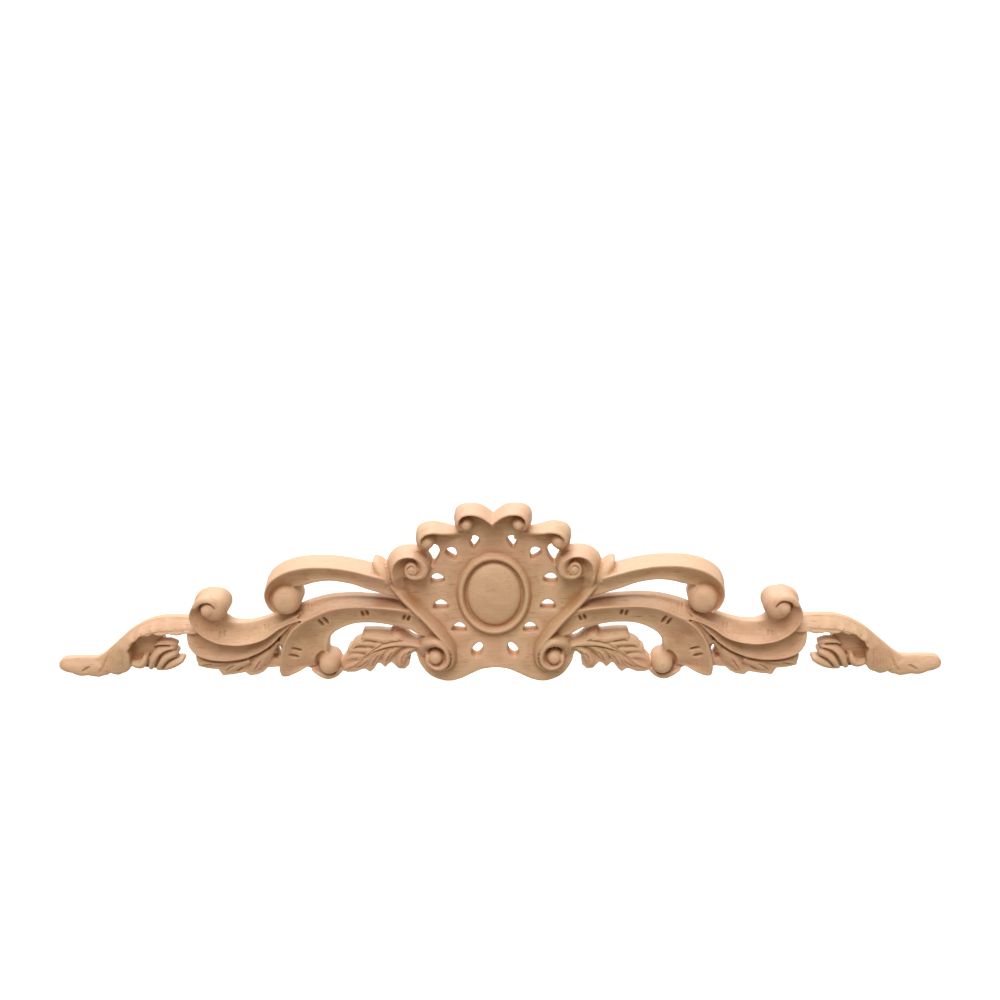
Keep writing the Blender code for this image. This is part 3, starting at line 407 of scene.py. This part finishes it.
# The leaves lie low under the front scrolls, parted from them by a thin slit: a web, a double
# midrib, and lobes rolled on both sides of it.
sawn("leaf_web", [(36, -32.4), (40, -30.8), (44, -29.1), (50, -26.1), (51.2, -23.6), (55, -22.4),
                  (57.6, -22), (58.6, -24.2), (60, -24.4), (66.5, -23.6), (74.4, -24), (74.8, -26.6),
                  (75.8, -29), (79, -32), (82.8, -33.2), (84, -37.5), (86.6, -43), (87.5, -46.6),
                  (84, -48.2), (79, -48), (76, -46.4), (73.6, -46.4), (71, -48.2), (68.8, -46.4),
                  (66.4, -42.6), (64.6, -43), (62.4, -45.4), (60.2, -43), (58.4, -42.2), (55, -46),
                  (51.4, -46.4), (48.6, -43.8), (48.2, -40.6), (50, -38.6), (49, -36.4), (45, -35.6),
                  (40, -37)], 9.4)
for lobe in ([(45, -31, 1.4, 11.4), (49, -28.5, 2.0, 12), (53.4, -25.6, 2.6, 12), (57, -24, 1.6, 11)],
             [(54, -28.2, 2.2, 11.8), (60, -26.8, 2.4, 11.6), (67, -25.8, 2.2, 11.2),
              (73.6, -25.2, 1.6, 10.6)],
             [(57, -29.6, 2.0, 11.4), (64, -28, 2.6, 11.4), (70, -27, 2.4, 10.8), (75, -27, 1.2, 9.8)],
             [(63.4, -31.6, 1.8, 11.2), (70, -30.6, 2.4, 11), (76, -30.6, 2.2, 10.4),
              (80.6, -32.6, 1.0, 9.6)],
             [(69, -35, 1.8, 10.8), (75, -34.4, 2.4, 10.8), (80, -34.6, 2.0, 10.2),
              (83.4, -36.2, 1.0, 9.4)],
             [(74, -38.8, 1.6, 10.4), (79, -38.4, 2.2, 10.4), (84, -40.2, 1.8, 9.8),
              (86.6, -43.6, 1.0, 9)],
             [(44, -31.5, 2.0, 11.6), (48, -34, 2.6, 12), (51.6, -37.6, 3.0, 12), (53.2, -42, 3.2, 11.4),
              (52.4, -45, 2.2, 9.6)],
             [(53, -31, 2.0, 11.6), (57.6, -34.4, 2.6, 11.8), (61, -38.6, 2.8, 11.4),
              (62.5, -43, 2.0, 9.8)],
             [(60, -32.4, 1.8, 11.4), (64.6, -36, 2.4, 11.4), (68.6, -40.6, 2.8, 11),
              (71, -45.6, 2.0, 9.6)],
             [(66, -35.4, 1.8, 11), (70.4, -38.8, 2.4, 11), (75, -43, 2.8, 10.6), (79.6, -46, 2.4, 9.8),
              (84.6, -46.6, 1.8, 9.2)]):
    rib("leaf_lobe", lobe, shoulder=0.8)
rib("leaf_midrib", [(38, -31, 1.7, 13), (44, -30.4, 1.7, 13), (50.8, -30, 1.6, 12.8),
                    (56.5, -30.3, 1.5, 12.6), (62, -31.6, 1.4, 12.4), (66.2, -33.4, 1.3, 12),
                    (70, -36, 1.2, 11.6), (74, -39.2, 1.1, 11.2), (79, -42.6, 1.0, 10.8),
                    (85, -45.4, 0.9, 10)])


# Under the long scroll lies a hollow crescent like a hull, with a leafy fringe along its keel.
band("hull", [(172.6, -21.5, 12, 167, -18, 11, -0.6, 0), (173.2, -26, 12.6, 165, -20.5, 11, -0.8, 0),
              (172, -31.5, 13, 161.5, -24, 11, -1, 0), (168.6, -36, 13.2, 158, -26.2, 11, -1, 0),
              (163, -38.5, 13.4, 154.5, -27.2, 11, -1, 0), (156.5, -39.6, 13.4, 150, -27.6, 11, -1, 0),
              (150, -39.7, 13.4, 145, -27.6, 11, -1, 0), (144, -38.8, 13.4, 140, -26.8, 11, -1, 0),
              (137.9, -37, 13.4, 134.5, -25.2, 11, -1, 0), (131.7, -34, 13.8, 129, -22.6, 12, -1, 0),
              (125.8, -29.8, 14.6, 123.5, -18.6, 13.6, -1, 0),
              (121.2, -25.2, 15.2, 117.6, -15.6, 14.8, -0.8, 0),
              (116.6, -20.4, 15.6, 112.6, -12.6, 15.4, -0.6, 0),
              (112, -15.6, 15.8, 108.4, -11, 15.8, 0, 0)])
web = sawn("fringe_web", [(170, -32), (169.6, -40.4), (168.4, -44.4), (163.4, -45.8), (157.4, -46.3),
                          (155.2, -50.2), (149.3, -49.6), (142, -48.2), (139.7, -50.2), (135.5, -49.8),
                          (131.5, -47.8), (128.9, -45.2), (122, -44.8), (116, -45), (108, -38),
                          (104, -16), (108, -12), (122, -18), (130, -30), (145, -36)], 9.2)
take_away(web, turned("drill", [oval(122.0, -35.0, 1.3, 3.4, depth, 24) for depth in (FAR, -FAR)]))
for lobe in ([(154, -40.6, 2.2, 11.4), (160, -41.2, 2.8, 11), (165.6, -42.6, 2.2, 10),
              (168.8, -44.2, 0.8, 8.8)],
             [(139, -39.4, 2.4, 11.8), (145.4, -42.4, 3.8, 11.2), (151, -45.8, 3.2, 10.2),
              (155, -49, 1.2, 8.8)],
             [(127, -33.6, 2.4, 12), (131.4, -38.8, 4.2, 11.6), (135.4, -44, 3.8, 10.6),
              (139, -48.8, 1.4, 8.8)],
             [(122, -28.4, 1.4, 12.2), (126.6, -35, 2.0, 11.4), (129.6, -41.4, 2.4, 10.4),
              (130.6, -45.4, 1.2, 9)],
             [(109.6, -14.4, 1.8, 15.8), (113, -19.4, 2.2, 14.8), (117, -25.5, 2.6, 13.4),
              (120.2, -30.4, 2.0, 12)],
             [(117.6, -39.6, 1.4, 10), (121, -41.6, 2.0, 10), (124.4, -43.6, 1.4, 9.2)]):
    rib("fringe", lobe, shoulder=0.5)


# The sprigs are the end leaves. Each twists over with a scalloped edge, runs out to a blunt tip, and
# holds a small spray of curled petals in the pocket under it.
band("sprig", [(164, -17.2, 9, 164, -21, 12.5, 1, 0), (172.1, -16.2, 5, 171, -22, 13.5, 2, 0),
               (179.4, -15.9, 4.5, 178, -22.5, 13.5, 2.2, 0),
               (186.6, -15.9, 4.5, 185, -22.6, 13.5, 2.2, 0),
               (192.1, -16.9, 4.5, 191, -22.7, 13.5, 2.2, 0),
               (197.8, -18.8, 4.5, 196.8, -23.2, 13.5, 2.2, 0),
               (202.3, -21.2, 4.5, 201.4, -25.2, 13.5, 2.2, 0),
               (207.3, -24.3, 4.5, 205.2, -28.4, 13.5, 2.2, 0),
               (213.2, -29.4, 4.5, 207.6, -31.8, 13.2, 2.2, 0),
               (219.3, -34.8, 4.5, 208.2, -36.6, 12.6, 2.0, 0),
               (223.5, -38.4, 4.5, 207.8, -42.4, 11.4, 2.2, 0), (227, -40.5, 4.5, 212, -48, 9.4, 2.2, 0),
               (230, -40.9, 4.2, 217.4, -49.3, 8.4, 2.2, 0), (232.6, -40.9, 4, 221.2, -48.6, 8.0, 2.2, 0),
               (235.2, -40.8, 4, 224.6, -50.4, 8, 2.2, 0), (240, -40.8, 4.5, 230.6, -50.4, 8, 2.0, 0),
               (245, -41, 5, 238, -49.8, 8, 1.8, 0), (248.4, -42, 5.5, 244, -48.4, 7.5, 1.2, 0),
               (250.2, -44.4, 5.5, 249.4, -46.6, 6, 0.4, 0)], ripple=(1.1, 13), columns=18)
sawn("sprig_floor", [(190, -20), (204, -25), (210, -36), (210.6, -43), (207.4, -45), (203, -46),
                     (199, -46.8), (194, -47.3), (187.4, -45.8), (182.2, -42.3), (183.6, -37),
                     (186.6, -32), (190, -26)], 5.2)
for petal in ([(196.6, -46.4, 1.2, 9), (194.8, -42.4, 2.4, 11), (191.6, -37.2, 2.8, 11.8),
               (187.4, -34, 2.6, 11.6), (183, -33, 1.8, 10.6), (180.8, -32.8, 0.8, 9)],
              [(192.4, -46.8, 1.4, 9), (189.8, -42.8, 2.6, 11), (185.8, -38.8, 2.8, 11.2),
               (182, -37, 2.0, 10.4), (180.2, -36.6, 1.0, 9)],
              [(190.6, -46.6, 1.2, 8.6), (185.8, -44.6, 2.2, 10), (181.2, -42.4, 2.2, 10.4),
               (177.4, -41.2, 1.1, 9)],
              [(207.6, -41.4, 1.2, 9), (205, -43.2, 2.2, 10.4), (201.4, -43.2, 2.6, 11),
               (199, -40.6, 2.0, 11), (198.6, -37.6, 1.0, 10)]):
    rib("curl", petal, shoulder=0.9)
rib("curl_top", [(192.6, -32.4, 0.8, 9), (188.6, -30.4, 1.6, 10), (184, -30.2, 1.9, 10.4),
                 (179.8, -31.2, 1.0, 9)],
    shoulder=0.9, back=4)


# All of it is one board, so the elements are joined, mirrored for the left half and grown into one
# skin, then planed flat at the back.
VOXEL = 0.5
FACES = 188000
bpy.ops.object.select_all(action="DESELECT")
for block in elements:
    block.select_set(True)
bpy.context.view_layer.objects.active = plate
bpy.ops.object.join()
carving = bpy.context.object
carving.name = "carving"
both = carving.modifiers.new("both halves", "MIRROR")
both.use_mirror_merge = False
skin = carving.modifiers.new("one skin", "REMESH")
skin.mode = "VOXEL"
skin.voxel_size = VOXEL * MM * 1.0
sand = carving.modifiers.new("sanding", "SMOOTH")
sand.factor = 0.5
sand.iterations = 2
for step in (both, skin, sand):
    bpy.ops.object.modifier_apply(modifier=step.name)


# The last cuts are made with the corner of a V tool: pairs of chips across the scrolls, veins in the
# leaves and the grooves that part one form from the next.
cuts = []


def cut(path, wide, deep):
    """A groove along a path of points (x, z), wide and deep in the middle and thin at its ends."""
    cuts.append((path, wide, deep))


def chips(x, z, angle, long, gap, deep):
    """A pair of short cuts beside each other; the angle is their own direction."""
    along = Vector((math.cos(angle), math.sin(angle)))
    beside = Vector((-along.y, along.x))
    for side in (-0.5, 0.5):
        middle = Vector((x, z)) + beside * gap * side
        ends = middle - along * long / 2, middle + along * long / 2
        cut([tuple(end) for end in ends], 2.1, deep)


for x, z, angle, long, gap, deep in ((48.8, -13.2, -1.25, 4.4, 2.6, 2.6),
                                     (71.8, -10.2, 1.38, 4.6, 2.8, 2.6),
                                     (95.4, -15.2, 1.15, 6.0, 3.2, 2.8),
                                     (112.2, -34.6, 0.42, 5.8, 4.3, 2.2),
                                     (103.2, -9.4, 1.35, 3.4, 1.9, 0.8),
                                     (128.2, -20.2, 1.35, 2.4, 2.0, 0.8),
                                     (152.6, -23.4, 1.5, 3.0, 2.0, 0.8)):
    chips(x, z, angle, long, gap, deep)


def circle_cut(x, z, radius, start, end, wide, deep, shrink=0.0):
    """A groove along an arc, which can wind in as it goes."""
    path = []
    for k in range(17):
        t = k / 16
        angle = math.radians(start + (end - start) * t)
        reach = radius * (1 - shrink * t)
        path.append((x + reach * math.cos(angle), z + reach * math.sin(angle)))
    cut(path, wide, deep)


circle_cut(44.4, 16.2, 3.0, -60, 250, 1.3, 0.8, 0.5)
circle_cut(158.8, -7.2, 4.7, 170, -70, 1.7, 2.2)
circle_cut(93.4, -41.6, 7.1, 70, -60, 3.4, 2.1)
circle_cut(93.4, -41.6, 6.1, -50, -125, 1.6, 2.4)
cut(flowing([(171.6, -35.8), (165, -40), (158, -41.1), (150, -41.2), (143, -40.2), (136, -37.8),
             (129.5, -34), (123.6, -29), (119.4, -23.6)], 4), 1.4, 1.8)
for side in (-1, 1):
    cut(flowing([(44, -30.4 + 1.5 * side), (50.8, -30 + 1.5 * side), (56.5, -30.3 + 1.4 * side),
                 (62, -31.6 + 1.3 * side), (66.2 - 0.5 * side, -33.4 + 1.1 * side),
                 (70 - 0.6 * side, -36 + side), (74 - 0.6 * side, -39.2 + 0.9 * side),
                 (79, -42.6 + 0.8 * side)], 4), 1.2, 1.3)
for vein in ([(60, -26), (66, -25.4), (71, -25.4)],
             [(66, -29.4), (71, -29), (75, -29.6)],
             [(72, -33), (77, -32.8), (80, -34)],
             [(50, -35.6), (52.4, -39), (52.6, -43)],
             [(47.6, -34.4), (49.6, -37)],
             [(57.6, -35), (60.4, -39), (61.4, -42)],
             [(65, -36.8), (68.2, -41), (69.6, -44.6)],
             [(71.6, -40.4), (75, -43.6), (79, -45.8)]):
    cut(flowing(vein, 4), 1.3, 1.0)
cut(flowing([(41.4, -29.6), (45, -28), (50, -26), (52.4, -23.8), (57, -22.4), (60, -24.4), (67, -23.8),
             (76, -24.4), (84, -30)], 4), 6.4, 5.0)
for vein in ([(147, -43), (150.6, -45.2), (153.2, -47.4)],
             [(132.4, -40), (134.4, -43.2), (136.6, -46.2)],
             [(160, -42.6), (163, -43.2), (166.4, -44)],
             [(142.4, -44.4), (144.6, -46), (147, -47.6)]):
    cut(flowing(vein, 4), 1.2, 1.0)
cut([(123.2, -36.6), (124, -38.4), (124, -40.2)], 3.0, 3.0)
for vein, wide, deep in (
        ([(194, -35), (191, -32.4), (187.4, -31.8), (183.4, -31.8)], 2.2, 2.4),
        ([(194.6, -47), (192, -42), (189.6, -37.6), (186.4, -35.2), (182.6, -34)], 2.2, 2.4),
        ([(189.4, -46), (186.4, -42), (183.6, -40.2), (180.4, -39.2)], 1.8, 2.0),
        ([(199.4, -45.8), (197.2, -42.4), (196.6, -38)], 1.8, 1.6),
        ([(219.5, -37), (222, -41.4), (224, -45.6), (226.4, -48.8)], 2.0, 0.9),
        ([(231.2, -45.2), (233.6, -46.4), (236, -47.8)], 1.8, 1.1),
        ([(206, -31.4), (203, -28.2), (197, -24.2), (191, -22.6), (185, -22), (178, -21.6),
          (171, -20.4)], 1.6, 0.7)):
    cut(flowing(vein, 4), wide, deep)
for k in range(6):
    cut(flowing([(209.6 + 1.2 * k, -27.6 - 1.1 * k), (210.8 + 1.6 * k, -34 - 0.8 * k),
                 (211.4 + 1.9 * k, -40.4 - 0.5 * k), (211.6 + 2 * k, -47 - 0.3 * k)], 4), 1.8, 0.6)
for x, z, lean in ((206, -30.6, 0.6), (202.6, -26.6, 0.5), (198.6, -24.2, 0.3), (193.4, -22.6, 0.1),
                   (188.6, -22.2, 0), (184, -22, 0), (179.6, -21.8, 0), (175, -21.6, 0)):
    cut([(x - lean, z - 1.8), (x, z), (x + lean, z + 1.4)], 1.6, 0.6)

# The cuts are sunk into the skin along their paths, with the faint waves that a gouge leaves.
WAVES = 0.04
FRONT = -2.0
SLACK = 0.01
LEFT_BEHIND = -1.0
count = len(carving.data.vertices)
points = np.empty(count * 3, dtype=np.float32)
carving.data.vertices.foreach_get("co", points)
points = points.reshape(count, 3).astype(float) / MM
sunk = np.zeros(count)
height = points[:, 2]
front = points[:, 1] < FRONT
for path, wide, deep in cuts:
    path = np.array(path)
    low = path.min(axis=0) - wide
    high = path.max(axis=0) + wide
    for side in (-1, 1):
        x = points[:, 0] * side
        beside = front & (x > low[0]) & (x < high[0]) & (height > low[1]) & (height < high[1])
        near = np.nonzero(beside)[0]
        if not len(near):
            continue
        spot = np.stack([x[near], height[near]], axis=1)
        best = np.full(len(near), np.inf)
        place = np.zeros(len(near))
        for k in range(len(path) - 1):
            step = path[k + 1] - path[k]
            t = np.clip(((spot - path[k]) @ step) / (step @ step), 0, 1)
            away = np.linalg.norm(spot - path[k] - t[:, None] * step, axis=1)
            closer = away < best
            best = np.where(closer, away, best)
            place = np.where(closer, (k + t) / (len(path) - 1), place)
        taper = np.clip(4 * place * (1 - place), 0, 1) ** 0.4
        half = wide / 2 * (0.35 + 0.65 * taper)
        round_or_sharp = 2 if wide > 4 else 1
        depth = deep * taper * np.clip(1 - (best / half) ** 2, 0, 1) ** round_or_sharp
        sunk[near] = np.maximum(sunk[near], depth)
wave = np.sin(points[:, 0] / 2.1 + 2 * np.sin(height / 3.7))
wave += np.sin(height / 1.7 + 2 * np.sin(points[:, 0] / 5.3))
sunk += np.where(front, WAVES * (2 + wave), 0)
within = np.array(cad_box) / MM
points = np.clip(points, within[0] + SLACK, within[1] - SLACK * (within[1] > 1))
floor_of_cut = np.minimum(points[:, 1] + sunk, np.maximum(points[:, 1], LEFT_BEHIND))
points[:, 1] = np.minimum(floor_of_cut, 0.0)
carving.data.vertices.foreach_set("co", (points * MM).astype(np.float32).ravel())
carving.data.update()

thin = carving.modifiers.new("fewer faces", "DECIMATE")
thin.ratio = min(1.0, FACES / (2 * len(carving.data.polygons)))
bpy.ops.object.modifier_apply(modifier=thin.name)
for vert in carving.data.vertices:
    if vert.co.y > -0.05 * MM:
        vert.co.y = 0.0
bpy.ops.object.mode_set(mode="EDIT")
bpy.ops.mesh.select_all(action="SELECT")
bpy.ops.mesh.quads_convert_to_tris()
bpy.ops.object.mode_set(mode="OBJECT")
bpy.ops.object.shade_smooth_by_angle(angle=math.radians(60))
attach(carving, "root")
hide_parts("carved_applique")


# The wood is left bare and only sanded: a pale pinkish hardwood that turns olive in wide streaks, with
# fine dark pores in short dashes along the board. Shade is painted into the colour as a deeper orange
# brown in the grooves, in the walls of the pierced holes, where orange bounce light is painted in too,
# and in the corners where the scrolls go under the stems; a painted highlight makes the rims paler.
HOLLOW_ROUNDS = 14
PINKISH = (0.620, 0.378, 0.246, 1)
OLIVE = (0.570, 0.380, 0.225, 1)
DARK_GROWTH = (0.46, 0.285, 0.170, 1)
DARK_PORE = (0.30, 0.165, 0.090, 1)
# The next four colours are painted light: shade in the grooves, a highlight on the rims, shade with orange
# bounce light in the hole walls, and shade in the corners.
PAINTED_GROOVE_SHADE = (0.34, 0.140, 0.042, 1)
PAINTED_RIM_HIGHLIGHT = (0.75, 0.51, 0.34, 1)
PAINTED_HOLE_BOUNCE_AND_SHADE = (0.58, 0.275, 0.085, 1)
PAINTED_CORNER_SHADE = (0.40, 0.175, 0.06, 1)
links = np.empty(len(carving.data.edges) * 2, dtype=np.int32)
carving.data.edges.foreach_get("vertices", links)
links = links.reshape(-1, 2)
count = len(carving.data.vertices)
points = np.empty(count * 3, dtype=np.float32)
carving.data.vertices.foreach_get("co", points)
points = points.reshape(count, 3).astype(float) / MM
normals = np.empty(count * 3, dtype=np.float32)
carving.data.vertex_normals.foreach_get("vector", normals)
normals = normals.reshape(count, 3).astype(float)
neighbours = np.maximum(np.bincount(links.ravel(), minlength=count), 1)[:, None]
# How far each point lies in a hollow or on a rim; the colour uses it for painted shade in hollows and a
# painted highlight on rims.
smooth = points
for round_number in range(HOLLOW_ROUNDS):
    sums = [np.bincount(links[:, 0], smooth[links[:, 1], axis], count)
            + np.bincount(links[:, 1], smooth[links[:, 0], axis], count) for axis in range(3)]
    smooth = np.stack(sums, axis=1) / neighbours
hollow = np.einsum("ij,ij->i", smooth - points, normals)
tone = carving.data.attributes.new("hollow", "FLOAT", "POINT")
tone.data.foreach_set("value", np.clip(hollow, -1, 1).astype(np.float32))

wood = bpy.data.materials.new("bare wood")
wood.use_nodes = True


class Wire:
    """An output socket of the wood's nodes, for sums to be written as sums."""

    tree = wood.node_tree

    def __init__(self, socket):
        self.socket = socket

    @classmethod
    def node(cls, kind, settings, inputs, output=0):
        """Adds a node, sets it up, plugs its inputs in and gives back one output."""
        made = cls.tree.nodes.new(kind)
        for name, value in settings.items():
            setattr(made, name, value)
        for name, value in inputs.items():
            if isinstance(value, Wire):
                cls.tree.links.new(value.socket, made.inputs[name])
            else:
                made.inputs[name].default_value = value
        return cls(made.outputs[output])

    def sum(self, operation, first, second):
        return self.node("ShaderNodeMath", {"operation": operation}, {0: first, 1: second})

    def __add__(self, other):
        return self.sum("ADD", self, other)

    def __radd__(self, other):
        return self.sum("ADD", other, self)

    def __sub__(self, other):
        return self.sum("SUBTRACT", self, other)

    def __rsub__(self, other):
        return self.sum("SUBTRACT", other, self)

    def __mul__(self, other):
        return self.sum("MULTIPLY", self, other)

    def __rmul__(self, other):
        return self.sum("MULTIPLY", other, self)

    def ramp(self, low, high):
        """Nought below one value, one above the other."""
        return self.node("ShaderNodeMapRange", {"interpolation_type": "SMOOTHSTEP"},
                         {"Value": self, "From Min": low, "From Max": high})

    def blend(self, first, second):
        """A colour between two, by this share."""
        return self.node("ShaderNodeMix", {"data_type": "RGBA"}, {0: self, 6: first, 7: second}, 2)


def streaks(place, length, width, detail, seed):
    """Noise drawn out along the board, in patches of a length and a width in metres."""
    spread = Wire.node("ShaderNodeMapping", {}, {"Vector": place, "Location": (seed, seed, seed),
                                                 "Scale": (1 / length, 1 / width, 1 / width)})
    return Wire.node("ShaderNodeTexNoise", {}, {"Vector": spread, "Scale": 1.0, "Detail": detail})


place = Wire.node("ShaderNodeTexCoord", {}, {}, "Object")
tint = streaks(place, 110 * MM, 14 * MM, 2, 3.1).ramp(0.38, 0.64)
growth = streaks(place, 90 * MM, 1.8 * MM, 3, 8.7)
pores = streaks(place, 6.5 * MM, 0.55 * MM, 1, 21.3).ramp(0.60, 0.72)
fleck = streaks(place, 22 * MM, 0.9 * MM, 2, 14.9).ramp(0.60, 0.75)
shade = Wire.node("ShaderNodeAttribute", {"attribute_name": "hollow"}, {}, "Fac")
base_colour = tint.blend(PINKISH, OLIVE)
base_colour = (growth.ramp(0.3, 0.7) * 0.35).blend(base_colour, DARK_GROWTH)
base_colour = (pores * 0.55 + fleck * 0.30).blend(base_colour, DARK_PORE)
# Painted shade: the hollows and grooves are darkened towards a deep orange brown by how far each point
# lies in a hollow.
base_colour = (shade.ramp(0.05, 0.6) * 0.62).blend(base_colour, PAINTED_GROOVE_SHADE)
# Painted highlight: the rims and other outward-curved edges are made paler.
base_colour = ((shade * -1).ramp(0.05, 0.5) * 0.35).blend(base_colour, PAINTED_RIM_HIGHLIGHT)
across, deep, high = (Wire.node("ShaderNodeSeparateXYZ", {}, {"Vector": place}, axis) * (1 / MM)
                      for axis in range(3))
aside = Wire.node("ShaderNodeMath", {"operation": "ABSOLUTE"}, {0: across})
off_back = 1 - deep.ramp(-1.0, -0.2)


def patch(x, z, half_wide, half_high, edge):
    """One in the middle of an oval on each half of the board, nought outside it and at the back."""
    level = aside - x
    upright = high - z
    reach = level * level * (1 / half_wide ** 2) + upright * upright * (1 / half_high ** 2)
    return (1 - reach.ramp(edge, 1.0)) * off_back


# The plate's oval holds the walls of its holes, painted with shade and orange bounce light; the small one
# lies over the root of the scrolls, painted with shade.
base_colour = (patch(0, -4, 44, 40, 0.9) * deep.ramp(-7.6, -6.0)).blend(base_colour, PAINTED_HOLE_BOUNCE_AND_SHADE)
# Painted shade: the deep walls in the corners where the scrolls go under the stems are darkened towards
# orange brown.
base_colour = (patch(54, -5, 16, 8, 0.3) * deep.ramp(-18, -14) * 0.6).blend(base_colour, PAINTED_CORNER_SHADE)
shader = wood.node_tree.nodes["Principled BSDF"]
wood.node_tree.links.new(base_colour.socket, shader.inputs["Base Color"])
rough = 0.58 + pores * 0.14
wood.node_tree.links.new(rough.socket, shader.inputs["Roughness"])
relief = growth * 0.25 - pores * 0.5 - fleck * 0.3
bump = Wire.node("ShaderNodeBump", {}, {"Strength": 0.5, "Distance": 0.15 * MM, "Height": relief})
wood.node_tree.links.new(bump.socket, shader.inputs["Normal"])
shader.inputs["Specular IOR Level"].default_value = 0.45
carving.data.materials.clear()
carving.data.materials.append(wood)


# The carving hangs free over a plain pale floor, seen from a step away and a little above, in soft
# light from the front and from above and behind.
CAMERA_DISTANCE = 0.8305
CAMERA_TURN = math.radians(2.334)
CAMERA_RISE = math.radians(21)
CAMERA_ROLL = math.radians(-0.988)
AIM = Vector((0.00384, 0.0, 0.05067))
FLOOR_LEVEL = -0.6
FLOOR_BEND = 0.01
eye = Vector((math.cos(CAMERA_RISE) * math.sin(CAMERA_TURN),
              -math.cos(CAMERA_RISE) * math.cos(CAMERA_TURN),
              math.sin(CAMERA_RISE))) * CAMERA_DISTANCE
bpy.ops.object.camera_add(location=eye)
camera = bpy.context.object
facing = (AIM - eye).to_track_quat("-Z", "Y") @ Quaternion((0, 0, 1), CAMERA_ROLL)
camera.rotation_euler = facing.to_euler()
camera.data.lens = 53.28
camera.data.sensor_width = 36
camera.data.clip_start = 0.01
bpy.context.scene.camera = camera

bpy.ops.mesh.primitive_grid_add(x_subdivisions=1, y_subdivisions=60, size=60)
floor = bpy.context.object
for vert in floor.data.vertices:
    vert.co.z = FLOOR_LEVEL + FLOOR_BEND * max(vert.co.y - 2, 0) ** 2
bpy.ops.object.shade_smooth()
floor.visible_diffuse = False
floor.name = "floor"
paint = bpy.data.materials.new("pale floor")
paint.use_nodes = True
paint.node_tree.nodes["Principled BSDF"].inputs["Base Color"].default_value = (0.9, 0.9, 0.9, 1)
floor.data.materials.append(paint)

world = bpy.data.worlds.new("studio")
bpy.context.scene.world = world
world.use_nodes = True
world.node_tree.nodes["Background"].inputs["Color"].default_value = (1, 0.85, 0.64, 1)
world.node_tree.nodes["Background"].inputs["Strength"].default_value = 0.44

bpy.context.scene.view_settings.view_transform = "Standard"
for turn, rise, strength, softness, colour in ((-8, 54, 2.32, 35, (1, 0.985, 0.975)),
                                               (186, 52, 2.85, 50, (0.92, 0.945, 1.0))):
    bpy.ops.object.light_add(type="SUN", rotation=(math.radians(90 - rise), 0, math.radians(turn)))
    lamp = bpy.context.object
    lamp.data.energy = strength
    lamp.data.angle = math.radians(softness)
    lamp.data.color = colour
